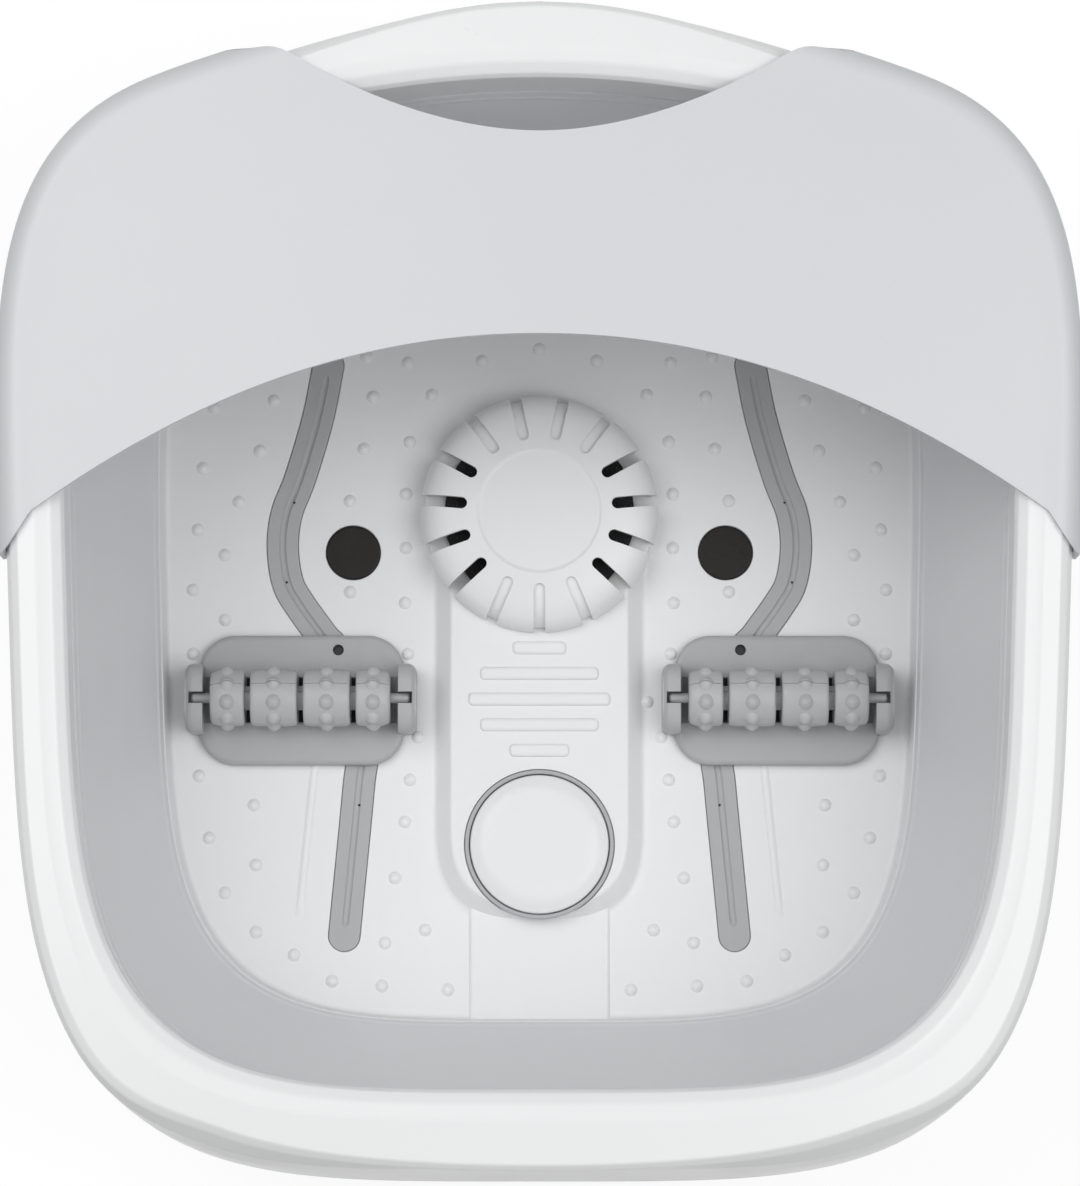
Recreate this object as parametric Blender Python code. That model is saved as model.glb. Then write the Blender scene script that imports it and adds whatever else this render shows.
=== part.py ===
"""Collapsible foot spa: a soft-walled tub with massage rollers, air strips and a splash guard.

X runs to the right, Y to the back and Z up. The origin is under the middle of the tub, on the
surface that the feet stand on. Lengths are in metres. The tub is modelled open, ready for use.
"""

import math

import bpy
import bmesh
from mathutils import Vector

# Driving sizes
WELL_SIDE = 0.1777
WELL_FRONT = 0.1900
WELL_BACK = 0.1790
WELL_BULGE = 0.0126
GRIP_HALF_WIDTH = 0.144
CORNER_POWER = 4.1
TAPER_SHARE = 0.035
RIM_SIDE_WIDTH = 0.0224
RIM_FRONT_WIDTH = 0.0340
RIM_BACK_WIDTH = 0.0230
RIM_BULGE = 0.0220
FOOT_HEIGHT = 0.0050
FLOOR_TOP = 0.0620
FLOOR_THICKNESS = 0.0030
TRAY_TOP = 0.0800
TRAY_SIDE = 0.1496
TRAY_FRONT = 0.1619
TRAY_BACK = 0.1640
TRAY_DRAFT = 0.0040
BELLOWS_HEIGHT = 0.0917
BELLOWS_WALL = 0.0018
RIM_HEIGHT = 0.0417
SKIRT_DROP = 0.0120
RIM_WALL = 0.0028
GUARD_WALL = 0.0025
SEAT_GAP = 0.0003
RUNNING_GAP = 0.0004
OVERRUN = 0.0040

# Finishes, each a colour, a roughness and a metallic value
WHITE_SHELL = ((0.80, 0.80, 0.80), 0.30, 0.0)
GUARD_GREY = ((0.66, 0.68, 0.69), 0.35, 0.0)
SOFT_GREY = ((0.52, 0.54, 0.55), 0.55, 0.0)
MID_GREY = ((0.45, 0.46, 0.47), 0.45, 0.0)
NEAR_BLACK = ((0.02, 0.018, 0.019), 0.50, 0.0)
RUBBER = ((0.30, 0.31, 0.32), 0.80, 0.0)
STEEL = ((0.60, 0.60, 0.60), 0.30, 1.0)
BOARD_GREEN = ((0.05, 0.22, 0.10), 0.50, 0.0)

# Steps round each shape
OVAL_STEPS = 60
CORNER_SHARE = 0.35
ROUND_STEPS = 24
SMALL_STEPS = 10
SMOOTH_ANGLE = math.radians(35)

# Heights that follow from the driving sizes
COVER_BOTTOM = FOOT_HEIGHT
COVER_THICKNESS = 0.0030
COVER_TOP = COVER_BOTTOM + COVER_THICKNESS
FLOOR_BOTTOM = FLOOR_TOP - FLOOR_THICKNESS
BELLOWS_BOTTOM = TRAY_TOP + SEAT_GAP
BELLOWS_TOP = BELLOWS_BOTTOM + BELLOWS_HEIGHT
RIM_BOTTOM = BELLOWS_TOP + SEAT_GAP
RIM_CREST = RIM_BOTTOM + RIM_HEIGHT
SKIRT_BOTTOM = BELLOWS_TOP - SKIRT_DROP
PLATEAU_RISE = 0.0080
PLATEAU_TOP = FLOOR_TOP + PLATEAU_RISE


class Oval:
    """A plan outline: half width, reach to the front and to the back, and a bulge at the back."""

    def __init__(self, side, front, back, bulge):
        self.side = side
        self.front = front
        self.back = back
        self.bulge = bulge

    def grown(self, amount):
        return Oval(self.side + amount, self.front + amount, self.back + amount, self.bulge)

    def toward(self, other, share):
        """The outline this share of the way to another one."""
        return Oval(
            self.side + (other.side - self.side) * share,
            self.front + (other.front - self.front) * share,
            self.back + (other.back - self.back) * share,
            self.bulge + (other.bulge - self.bulge) * share,
        )

    def point(self, angle, height):
        across = math.cos(angle)
        along = math.sin(angle)
        reach = self.back if along > 0 else self.front
        power = CORNER_POWER
        radius = (abs(across / self.side) ** power + abs(along / reach) ** power) ** (-1 / power)
        x = radius * across
        y = radius * along
        if along > 0:
            y += self.bulge * grip_share(x)
        x *= 1 + TAPER_SHARE * y / WELL_FRONT
        return Vector((x, y, height))

    def ring(self, height):
        return [self.point(angle, height) for angle in oval_angles()]


def oval_angles():
    """Directions round an outline, a little closer together at its corners."""
    angles = []
    for step in range(OVAL_STEPS):
        even = 2 * math.pi * step / OVAL_STEPS
        across = math.copysign(abs(math.cos(even)) ** (2 / CORNER_POWER), math.cos(even))
        along = math.copysign(abs(math.sin(even)) ** (2 / CORNER_POWER), math.sin(even))
        cornered = math.atan2(along, across) % (2 * math.pi)
        angles.append(even + (cornered - even) * CORNER_SHARE)
    return angles


def grip_share(x):
    """1 at the middle of a grip, falling smoothly to 0 at its ends."""
    if abs(x) >= GRIP_HALF_WIDTH:
        return 0
    return (1 + math.cos(math.pi * x / GRIP_HALF_WIDTH)) / 2


WELL = Oval(WELL_SIDE, WELL_FRONT, WELL_BACK, WELL_BULGE)
RIM_OUTER = Oval(
    WELL_SIDE + RIM_SIDE_WIDTH,
    WELL_FRONT + RIM_FRONT_WIDTH,
    WELL_BACK + RIM_BACK_WIDTH,
    RIM_BULGE,
)
TRAY = Oval(TRAY_SIDE, TRAY_FRONT, TRAY_BACK, 0)


# Helpers that make and join meshes


def clear_scene():
    for thing in list(bpy.data.objects):
        bpy.data.objects.remove(thing, do_unlink=True)


def make_material(name, finish):
    """The piece's own material, from a finish: its colour, roughness and metallic value."""
    color, roughness, metallic = finish
    material = bpy.data.materials.new(name)
    material.use_nodes = True
    shader = material.node_tree.nodes["Principled BSDF"]
    shader.inputs["Base Color"].default_value = (*color, 1)
    shader.inputs["Roughness"].default_value = roughness
    shader.inputs["Metallic"].default_value = metallic
    return material


def add_object(name, mesh_data, finish, location=(0, 0, 0)):
    """Turns a bmesh into a closed, outward-facing object, shaded smooth except at sharp edges."""
    bmesh.ops.recalc_face_normals(mesh_data, faces=mesh_data.faces)
    mesh = bpy.data.meshes.new(name)
    mesh_data.to_mesh(mesh)
    mesh_data.free()
    mesh.materials.append(make_material(name, finish))
    mesh.shade_smooth()
    mesh.set_sharp_from_angle(angle=SMOOTH_ANGLE)
    thing = bpy.data.objects.new(name, mesh)
    thing.location = location
    bpy.context.scene.collection.objects.link(thing)
    return thing


def bridge(mesh_data, rings, closed):
    """Skins the rings of points in turn, and joins the last to the first or caps both ends."""
    rows = [[mesh_data.verts.new(point) for point in ring] for ring in rings]
    pairs = list(zip(rows, rows[1:]))
    if closed:
        pairs.append((rows[-1], rows[0]))
    for low, high in pairs:
        for step in range(len(low)):
            after = (step + 1) % len(low)
            mesh_data.faces.new((low[step], low[after], high[after], high[step]))
    if not closed:
        mesh_data.faces.new(list(reversed(rows[0])))
        mesh_data.faces.new(rows[-1])


def loft(name, rings, finish, closed=False, location=(0, 0, 0)):
    mesh_data = bmesh.new()
    bridge(mesh_data, rings, closed)
    return add_object(name, mesh_data, finish, location)


def circle(radius, height, steps=ROUND_STEPS):
    return [
        (
            radius * math.cos(2 * math.pi * step / steps),
            radius * math.sin(2 * math.pi * step / steps),
            height,
        )
        for step in range(steps)
    ]


def turned(name, profile, finish, location=(0, 0, 0), steps=ROUND_STEPS, closed=False):
    """A shape turned about Z. The profile lists (radius, height) and closes as a ring, or is capped."""
    rings = [circle(radius, height, steps) for radius, height in profile]
    return loft(name, rings, finish, closed, location)


def cylinder(name, radius, bottom, top, finish, place=(0, 0), steps=ROUND_STEPS):
    profile = [(radius, 0), (radius, top - bottom)]
    return turned(name, profile, finish, (*place, bottom), steps)


def box(name, low, high, finish):
    """A box between two opposite corners."""
    corners = [(low[0], low[1]), (high[0], low[1]), (high[0], high[1]), (low[0], high[1])]
    rings = [[(x, y, height) for x, y in corners] for height in (low[2], high[2])]
    return loft(name, rings, finish)


def prism(name, outline, bottom, top, finish, location=(0, 0, 0)):
    rings = [[(x, y, height) for x, y in outline] for height in (bottom, top)]
    return loft(name, rings, finish, location=location)


def change(target, tool, operation):
    """Cuts the tool from the target, or joins it on, and hides the tool."""
    modifier = target.modifiers.new(f"{operation} {tool.name}", "BOOLEAN")
    modifier.operation = operation
    modifier.object = tool
    modifier.solver = "EXACT"
    tool.hide_render = True
    tool.display_type = "WIRE"


def cut(target, tool):
    change(target, tool, "DIFFERENCE")


def join(target, tool):
    change(target, tool, "UNION")


def group(name, pieces):
    """Joins the meshes of pieces that don't touch into one helper object."""
    mesh_data = bmesh.new()
    for piece in pieces:
        piece_mesh = piece.data
        piece_mesh.transform(piece.matrix_basis)
        mesh_data.from_mesh(piece_mesh)
        bpy.data.objects.remove(piece, do_unlink=True)
    return add_object(name, mesh_data, WHITE_SHELL)


def rounded_outline(half_x, half_y, power, steps=ROUND_STEPS):
    """A rectangle with generous round corners, anticlockwise."""
    points = []
    for step in range(steps):
        angle = 2 * math.pi * step / steps
        across = math.cos(angle)
        along = math.sin(angle)
        radius = (abs(across / half_x) ** power + abs(along / half_y) ** power) ** (-1 / power)
        points.append((radius * across, radius * along))
    return points


def smooth_run(guides, pieces):
    """Points along a smooth curve from the second guide point to the last but one."""
    path = []
    for index in range(1, len(guides) - 2):
        before, start, end, after = guides[index - 1 : index + 3]
        for piece in range(pieces):
            t = piece / pieces
            path.append(
                (
                    2 * start
                    + (end - before) * t
                    + (2 * before - 5 * start + 4 * end - after) * t**2
                    + (3 * start - before - 3 * end + after) * t**3
                )
                / 2
            )
    path.append(guides[-2])
    return path


def smooth_path(points, pieces):
    """Points along a smooth curve through all of the given ones."""
    return smooth_run([2 * points[0] - points[1], *points, 2 * points[-1] - points[-2]], pieces)


def tube(name, points, radius, finish, pieces=4, bevel_steps=2):
    """A tube of this radius through the points, straight at both ends and smooth between."""
    curve = bpy.data.curves.new(name, "CURVE")
    curve.dimensions = "3D"
    curve.bevel_depth = radius
    curve.bevel_resolution = bevel_steps
    curve.use_fill_caps = True
    guides = [Vector(point) for point in points]
    path = [guides[0], *smooth_run(guides, pieces), guides[-1]]
    spline = curve.splines.new("POLY")
    spline.points.add(len(path) - 1)
    for slot, point in zip(spline.points, path):
        slot.co = (*point, 1)
    curve.materials.append(make_material(name, finish))
    thing = bpy.data.objects.new(name, curve)
    bpy.context.scene.collection.objects.link(thing)
    return thing


def pivot(name, location):
    """An empty on a joint's axis, which carries the pieces that move about it."""
    empty = bpy.data.objects.new(name, None)
    empty.location = location
    bpy.context.scene.collection.objects.link(empty)
    return empty


# Base shell and bottom cover

SHELL_WALL = 0.0030
SHELL_TOP_OUTSET = 0.0120
SHELL_BOTTOM_OUTSET = 0.0080
SHELL_EDGE = 0.0020
SHELL_BOTTOM = COVER_TOP + SEAT_GAP
FLANGE_THICKNESS = 0.0030
FLANGE_WIDTH = 0.0085
SHELL_TOP = TRAY_TOP - FLANGE_THICKNESS - SEAT_GAP
GLAND_HEIGHT = 0.0300
GLAND_RADIUS = 0.0075


def shell_at(height):
    """The base shell's outer outline at a height, on its straight draft."""
    share = (height - SHELL_BOTTOM) / (SHELL_TOP - SHELL_BOTTOM)
    return TRAY.grown(SHELL_BOTTOM_OUTSET + (SHELL_TOP_OUTSET - SHELL_BOTTOM_OUTSET) * share)


def back_face(height):
    """The Y of the base shell's outer face at the middle of the back."""
    return shell_at(height).back


def gland_turn():
    """The turn about X that points an upright shape straight out of the sloping back wall."""
    draft = (SHELL_TOP_OUTSET - SHELL_BOTTOM_OUTSET) / (SHELL_TOP - SHELL_BOTTOM)
    return -math.pi / 2 - math.atan(draft)


def make_base_shell():
    lip = TRAY.grown(SHELL_WALL + 2 * SEAT_GAP)
    under_flange = SHELL_TOP - SHELL_WALL
    rings = [
        shell_at(SHELL_BOTTOM).ring(SHELL_BOTTOM),
        shell_at(SHELL_TOP - SHELL_EDGE).ring(SHELL_TOP - SHELL_EDGE),
        shell_at(SHELL_TOP).grown(-SHELL_EDGE).ring(SHELL_TOP),
        lip.ring(SHELL_TOP),
        lip.ring(under_flange),
        shell_at(under_flange).grown(-SHELL_WALL).ring(under_flange),
        shell_at(SHELL_BOTTOM).grown(-SHELL_WALL).ring(SHELL_BOTTOM),
    ]
    shell = loft("base_shell", rings, WHITE_SHELL, closed=True)
    hole = turned(
        "gland hole",
        [(GLAND_RADIUS + SEAT_GAP, -SHELL_WALL - OVERRUN), (GLAND_RADIUS + SEAT_GAP, OVERRUN)],
        WHITE_SHELL,
        (0, back_face(GLAND_HEIGHT), GLAND_HEIGHT),
    )
    hole.rotation_euler = (gland_turn(), 0, 0)
    cut(shell, hole)
    return shell


POST_RADIUS = 0.0050
POST_HOLE_RADIUS = 0.0017
POST_HOLE_DEPTH = 0.0140
POST_BACK = (0.1180, 0.1270)
POST_MIDDLE = (0.1380, 0.0000)
POST_FRONT = (0.1130, -0.1250)
SCREW_HEAD_RADIUS = 0.0034
SCREW_HEAD_HEIGHT = 0.0014
SCREW_SHANK_RADIUS = 0.0014
SCREW_RECESS_DEPTH = 0.0018
SCREW_SINK = 0.0001
FOOT_RADIUS = 0.0110
FOOT_TAPER = 0.0010
FOOT_BACK = (0.1160, 0.1020)
FOOT_FRONT = (0.1160, -0.1000)
BLOWER_PLACE = (-0.0750, 0.0850)
INTAKE_SLOT_LENGTH = 0.0300
INTAKE_SLOT_WIDTH = 0.0024
INTAKE_SLOT_PITCH = 0.0060
INTAKE_SLOTS = 5
BUTTON_Y = -0.0920
SWITCH_SIDE = 0.0120
SWITCH_HEIGHT = 0.0080
SWITCH_TOP = 0.0440
BOARD_LOW = (0.0520, 0.0560)
BOARD_HIGH = (0.1080, 0.1150)
BOARD_THICKNESS = 0.0016
BOARD_BOTTOM = 0.0140
STANDOFF_RADIUS = 0.0030
STANDOFF_INSET = 0.0060


def mirrored(place):
    """A place on the right and the same one on the left."""
    return [place, (-place[0], place[1])]


def post_places():
    return mirrored(POST_BACK) + mirrored(POST_MIDDLE) + mirrored(POST_FRONT)


def rods(name, places, radius, bottom, top):
    """Upright round helpers of one size at several places, as one object."""
    return group(
        name,
        [
            cylinder(name, radius, bottom, top, WHITE_SHELL, place, SMALL_STEPS)
            for place in places
        ],
    )


def make_board_standoffs():
    xs = (BOARD_LOW[0] + STANDOFF_INSET, BOARD_HIGH[0] - STANDOFF_INSET)
    ys = (BOARD_LOW[1] + STANDOFF_INSET, BOARD_HIGH[1] - STANDOFF_INSET)
    places = [(x, y) for x in xs for y in ys]
    bottom = COVER_TOP - SHELL_EDGE
    return rods("board standoffs", places, STANDOFF_RADIUS, bottom, BOARD_BOTTOM - SEAT_GAP)


def make_switch_post():
    half = SWITCH_SIDE / 2
    return box(
        "switch post",
        (-half, BUTTON_Y - half, COVER_TOP - SHELL_EDGE),
        (half, BUTTON_Y + half, SWITCH_TOP - SWITCH_HEIGHT - SEAT_GAP),
        WHITE_SHELL,
    )


def make_intake_slots():
    x, y = BLOWER_PLACE
    half_length = INTAKE_SLOT_LENGTH / 2
    half_width = INTAKE_SLOT_WIDTH / 2
    low = COVER_BOTTOM - OVERRUN
    high = COVER_TOP + OVERRUN
    slots = []
    for index in range(INTAKE_SLOTS):
        middle = y + (index - (INTAKE_SLOTS - 1) / 2) * INTAKE_SLOT_PITCH
        near = (x - half_length, middle - half_width, low)
        far = (x + half_length, middle + half_width, high)
        slots.append(box("intake slot", near, far, WHITE_SHELL))
    return group("intake slots", slots)


def make_bottom_cover():
    outer = shell_at(SHELL_BOTTOM)
    rings = [
        outer.grown(-SHELL_EDGE).ring(COVER_BOTTOM),
        outer.ring(COVER_BOTTOM + SHELL_EDGE),
        outer.ring(COVER_TOP),
    ]
    cover = loft("bottom_cover", rings, WHITE_SHELL)
    join(cover, make_switch_post())
    join(cover, make_board_standoffs())
    below = COVER_BOTTOM - OVERRUN
    head_hole = SCREW_HEAD_RADIUS + RUNNING_GAP
    shank_hole = SCREW_SHANK_RADIUS + RUNNING_GAP
    recess_top = COVER_BOTTOM + SCREW_RECESS_DEPTH
    cut(cover, rods("screw recesses", post_places(), head_hole, below, recess_top))
    cut(cover, rods("screw holes", post_places(), shank_hole, below, COVER_TOP + OVERRUN))
    cut(cover, make_intake_slots())


def make_bottom_screws():
    names = ["right_back", "left_back", "right_middle", "left_middle", "right_front", "left_front"]
    head_bottom = COVER_BOTTOM + SCREW_SINK
    head_top = head_bottom + SCREW_HEAD_HEIGHT
    tip = SHELL_BOTTOM + POST_HOLE_DEPTH - POST_HOLE_RADIUS
    for name, place in zip(names, post_places()):
        profile = [
            (SCREW_HEAD_RADIUS, 0),
            (SCREW_HEAD_RADIUS, head_top - head_bottom),
            (SCREW_SHANK_RADIUS, head_top - head_bottom),
            (SCREW_SHANK_RADIUS, tip - head_bottom),
        ]
        turned("screw_" + name, profile, STEEL, (*place, head_bottom), SMALL_STEPS)


def make_feet():
    for name, place in zip(
        ["right_back", "left_back", "right_front", "left_front"],
        mirrored(FOOT_BACK) + mirrored(FOOT_FRONT),
    ):
        profile = [
            (FOOT_RADIUS - FOOT_TAPER, 0),
            (FOOT_RADIUS, FOOT_TAPER),
            (FOOT_RADIUS, COVER_BOTTOM - SEAT_GAP),
        ]
        turned("foot_" + name, profile, RUBBER, (*place, 0), 2 * SMALL_STEPS)


# Basin floor with its spine, recesses and posts

FLOOR_FILLET = 0.0020
DOME_RADIUS = 0.0473
DOME_Y = 0.0394
PAD_RADIUS = 0.0490
PAD_DRAFT = 0.0030
SPINE_HALF_WIDTH = 0.0350
SPINE_DRAFT = 0.0065
SPINE_OVERHANG = 0.0240
SPINE_END = BUTTON_Y - SPINE_OVERHANG
SPINE_POWER = 3.0
BAR_WIDTH = 0.0050
BAR_POWER = 6
BAR_RISE = 0.0012
BAR_PITCH = 0.0102
BAR_MIDDLE_Y = -0.0343
BAR_LENGTH_SHORT = 0.0220
BAR_LENGTH_MEDIUM = 0.0470
BAR_LENGTH_LONG = 0.0563
BAND_HALF_WIDTH = 0.0268
BAND_RISE = 0.0015
BUTTON_RADIUS = 0.0275
SEAL_WIDTH = 0.0017
BUTTON_STEM_RADIUS = 0.0040
BUTTON_RECESS_DEPTH = 0.0095
SEAL_DEPTH = 0.0035
BUTTON_RECESS_FLOOR = PLATEAU_TOP - BUTTON_RECESS_DEPTH
SEAL_LEDGE = PLATEAU_TOP - SEAL_DEPTH
DISC_RADIUS = 0.0108
DISC_PLACE = (0.0743, 0.0248)
DISC_RECESS_DEPTH = 0.0015
DISC_PROUD = 0.0005
STRIP_WIDTH = 0.0137
STRIP_RECESS_DEPTH = 0.0015
STRIP_PROUD = SEAT_GAP
STRIP_NIPPLE_RADIUS = 0.0030
STRIP_NIPPLE_LENGTH = 0.0100
STRIP_BACK_PATH = (
    (0.0845, 0.1000),
    (0.0886, 0.0790),
    (0.0955, 0.0552),
    (0.1010, 0.0405),
    (0.1025, 0.0270),
    (0.1005, 0.0130),
    (0.0955, 0.0038),
    (0.0866, -0.0086),
    (0.0800, -0.0180),
)
STRIP_FRONT_PATH = ((0.0710, -0.0520), (0.0720, -0.0700), (0.0775, -0.1280))
STRIP_NIPPLE_STEP = 4


def strip_outline(half_width):
    """The outline of the right-hand strip, which runs on under the roller cradle."""
    route = [Vector(place) for place in STRIP_BACK_PATH + STRIP_FRONT_PATH]
    path = smooth_path(route, 1)
    left = []
    right = []
    for index, point in enumerate(path):
        along = path[min(index + 1, len(path) - 1)] - path[max(index - 1, 0)]
        side = Vector((along.y, -along.x)).normalized() * half_width
        left.append(point - side)
        right.append(point + side)
    outline = round_end(path[0], left[0])
    outline += right[1:-1]
    outline += round_end(path[-1], right[-1])
    outline += reversed(left[1:-1])
    return [(point.x, point.y) for point in outline]


def round_end(centre, start):
    """Points of a half circle about the centre, turning anticlockwise from the start."""
    steps = SMALL_STEPS // 2
    first = start - centre
    points = []
    for step in range(steps + 1):
        angle = math.pi * step / steps
        points.append(
            centre
            + Vector(
                (
                    first.x * math.cos(angle) - first.y * math.sin(angle),
                    first.x * math.sin(angle) + first.y * math.cos(angle),
                )
            )
        )
    return points


def flipped(outline):
    """The same outline on the other side, kept anticlockwise."""
    return [(-x, y) for x, y in reversed(outline)]


def make_floor_tray():
    flange = TRAY.grown(FLANGE_WIDTH)
    wall_foot = TRAY.grown(-TRAY_DRAFT)
    rings = [
        wall_foot.grown(-FLOOR_FILLET).ring(FLOOR_BOTTOM),
        wall_foot.grown(FLOOR_THICKNESS - SHELL_EDGE / 2).ring(FLOOR_BOTTOM + SHELL_EDGE),
        TRAY.grown(SHELL_WALL - SEAT_GAP).ring(TRAY_TOP - FLANGE_THICKNESS),
        flange.ring(TRAY_TOP - FLANGE_THICKNESS),
        flange.ring(TRAY_TOP),
        TRAY.ring(TRAY_TOP),
        wall_foot.ring(FLOOR_TOP + FLOOR_FILLET),
        wall_foot.grown(-FLOOR_FILLET).ring(FLOOR_TOP),
    ]
    return loft("basin_floor", rings, WHITE_SHELL)


def spine_outline(half_width, end_y, grow):
    """A straight-sided outline from the dome's middle to a round end past the foot button."""
    points = []
    steps = SMALL_STEPS
    length = half_width + grow
    for step in range(steps + 1):
        angle = math.pi + math.pi * step / steps
        across = abs(math.cos(angle)) ** (2 / SPINE_POWER)
        along = abs(math.sin(angle)) ** (2 / SPINE_POWER)
        sign = -1 if math.cos(angle) < 0 else 1
        points.append((sign * across * (half_width + grow), end_y + half_width - along * length))
    points.append((half_width + grow, DOME_Y))
    points.append((-half_width - grow, DOME_Y))
    return points


def make_spine():
    low = spine_outline(SPINE_HALF_WIDTH, SPINE_END, SPINE_DRAFT)
    high = spine_outline(SPINE_HALF_WIDTH, SPINE_END, 0)
    base = FLOOR_TOP - FLOOR_THICKNESS / 2
    rings = [
        [(x, y, base) for x, y in low],
        [(x, y, FLOOR_TOP) for x, y in low],
        [(x, y, PLATEAU_TOP) for x, y in high],
    ]
    return loft("spine", rings, WHITE_SHELL)


def make_dome_pad():
    base = FLOOR_TOP - FLOOR_THICKNESS / 2
    profile = [
        (PAD_RADIUS + PAD_DRAFT, base),
        (PAD_RADIUS + PAD_DRAFT, FLOOR_TOP),
        (PAD_RADIUS, PLATEAU_TOP),
    ]
    return turned("dome pad", profile, WHITE_SHELL, (0, DOME_Y, 0), 2 * SMALL_STEPS)


def make_spine_bars():
    lengths = [
        BAR_LENGTH_SHORT,
        BAR_LENGTH_MEDIUM,
        BAR_LENGTH_LONG,
        BAR_LENGTH_MEDIUM,
        BAR_LENGTH_SHORT,
    ]
    bars = []
    for index, length in enumerate(lengths):
        y = BAR_MIDDLE_Y + (2 - index) * BAR_PITCH
        outline = rounded_outline(length / 2, BAR_WIDTH / 2, BAR_POWER, 2 * SMALL_STEPS)
        bars.append(
            prism(
                "spine bar",
                outline,
                PLATEAU_TOP - BAR_RISE,
                PLATEAU_TOP + BAR_RISE,
                WHITE_SHELL,
                (0, y, 0),
            )
        )
    return group("spine bars", bars)


def make_front_band():
    """The shallow band that runs from the spine's end to the front wall."""
    front = BUTTON_Y - BUTTON_RADIUS - SEAL_WIDTH
    end = -(TRAY.front - TRAY_DRAFT)
    return box(
        "front band",
        (-BAND_HALF_WIDTH, end - SHELL_EDGE, FLOOR_BOTTOM + SHELL_EDGE),
        (BAND_HALF_WIDTH, front, FLOOR_TOP + BAND_RISE),
        WHITE_SHELL,
    )


def nipple_places():
    return mirrored(STRIP_BACK_PATH[STRIP_NIPPLE_STEP])


def make_floor_recesses():
    """Shallow seats for the strips and the discs."""
    right = strip_outline(STRIP_WIDTH / 2 + SEAT_GAP)
    seats = [make_strip_groove(right), make_strip_groove(flipped(right))]
    for place in mirrored(DISC_PLACE):
        bottom = FLOOR_TOP - DISC_RECESS_DEPTH
        radius = DISC_RADIUS + SEAT_GAP
        seats.append(
            cylinder("disc seat", radius, bottom, FLOOR_TOP + OVERRUN, WHITE_SHELL, place)
        )
    return group("floor recesses", seats)


def make_basin_floor():
    floor = make_floor_tray()
    join(floor, make_front_band())
    join(floor, make_spine())
    join(floor, make_dome_pad())
    join(floor, make_spine_bars())
    under = SHELL_BOTTOM
    root = FLOOR_TOP - FLOOR_THICKNESS / 2
    join(floor, rods("floor posts", post_places(), POST_RADIUS, under, root))
    hole_top = under + POST_HOLE_DEPTH
    cut(floor, rods("post holes", post_places(), POST_HOLE_RADIUS, under - OVERRUN, hole_top))
    cut(floor, make_button_recess())
    cut(floor, make_floor_recesses())
    nipple = STRIP_NIPPLE_RADIUS + SEAT_GAP
    low = FLOOR_BOTTOM - OVERRUN
    cut(floor, rods("nipple holes", nipple_places(), nipple, low, FLOOR_TOP + OVERRUN))


def make_strip_groove(outline):
    return prism(
        "strip groove",
        outline,
        FLOOR_TOP - STRIP_RECESS_DEPTH,
        FLOOR_TOP + OVERRUN,
        WHITE_SHELL,
    )


def make_button_recess():
    """A stepped pocket for the button and its seal, with the stem's hole through the floor."""
    stem = BUTTON_STEM_RADIUS + RUNNING_GAP
    pocket = BUTTON_RADIUS + 2 * RUNNING_GAP
    ledge = BUTTON_RADIUS + RUNNING_GAP + SEAL_WIDTH + SEAT_GAP
    profile = [
        (stem, FLOOR_BOTTOM - OVERRUN),
        (stem, BUTTON_RECESS_FLOOR),
        (pocket, BUTTON_RECESS_FLOOR),
        (pocket, SEAL_LEDGE),
        (ledge, SEAL_LEDGE),
        (ledge, PLATEAU_TOP + OVERRUN),
    ]
    return turned("button recess", profile, WHITE_SHELL, (0, BUTTON_Y, 0), OVAL_STEPS // 2)


# Soft wall between the base and the rim

BEAD_HEIGHT = 0.0042
BEAD_WIDTH = 0.0055
BEAD_STEP = 0.0006


def make_bellows():
    low = TRAY.grown(SEAT_GAP)
    wall_low = BELLOWS_BOTTOM + BEAD_HEIGHT
    wall_high = BELLOWS_TOP - BEAD_HEIGHT
    inner_low = low.toward(WELL, BEAD_HEIGHT / BELLOWS_HEIGHT)
    inner_high = WELL.toward(low, BEAD_HEIGHT / BELLOWS_HEIGHT)
    rings = [
        low.ring(BELLOWS_BOTTOM),
        low.grown(BEAD_WIDTH).ring(BELLOWS_BOTTOM),
        inner_low.grown(BEAD_WIDTH).ring(wall_low - BEAD_STEP),
        inner_low.grown(BELLOWS_WALL).ring(wall_low),
        inner_high.grown(BELLOWS_WALL).ring(wall_high),
        inner_high.grown(BEAD_WIDTH).ring(wall_high + BEAD_STEP),
        WELL.grown(BEAD_WIDTH).ring(BELLOWS_TOP),
        WELL.ring(BELLOWS_TOP),
    ]
    return loft("bellows", rings, SOFT_GREY, closed=True)


# Rim frame: an upside-down channel with grip lips at the front and at the back

CREASE_OUTSET = 0.0038
CREASE_DROP = 0.0060
CREST_START = 0.0065
CREST_START_DROP = 0.0012
CREST_OUTSET = 0.0095
LIP_INSET = 0.0085
LIP_INSET_GRIP = 0.0056
LIP_DROP = 0.0026
LIP_DROP_GRIP = 0.0022
SHOULDER_INSET = 0.0034
SHOULDER_INSET_GRIP = 0.0049
SHOULDER_DROP = 0.0110
SHOULDER_DROP_GRIP = 0.0060
SKIRT_INSET = 0.0014
SKIRT_INSET_GRIP = 0.0036
SKIRT_TOP_DROP = 0.0260


def mixed_ring(oval, plain, grip):
    """A ring at (outset, height) that eases from the plain pair to the pair used at the grips."""
    points = []
    for angle in oval_angles():
        share = grip_share(oval.point(angle, 0).x)
        outset = plain[0] + (grip[0] - plain[0]) * share
        height = plain[1] + (grip[1] - plain[1]) * share
        points.append(oval.grown(outset).point(angle, height))
    return points


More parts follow.
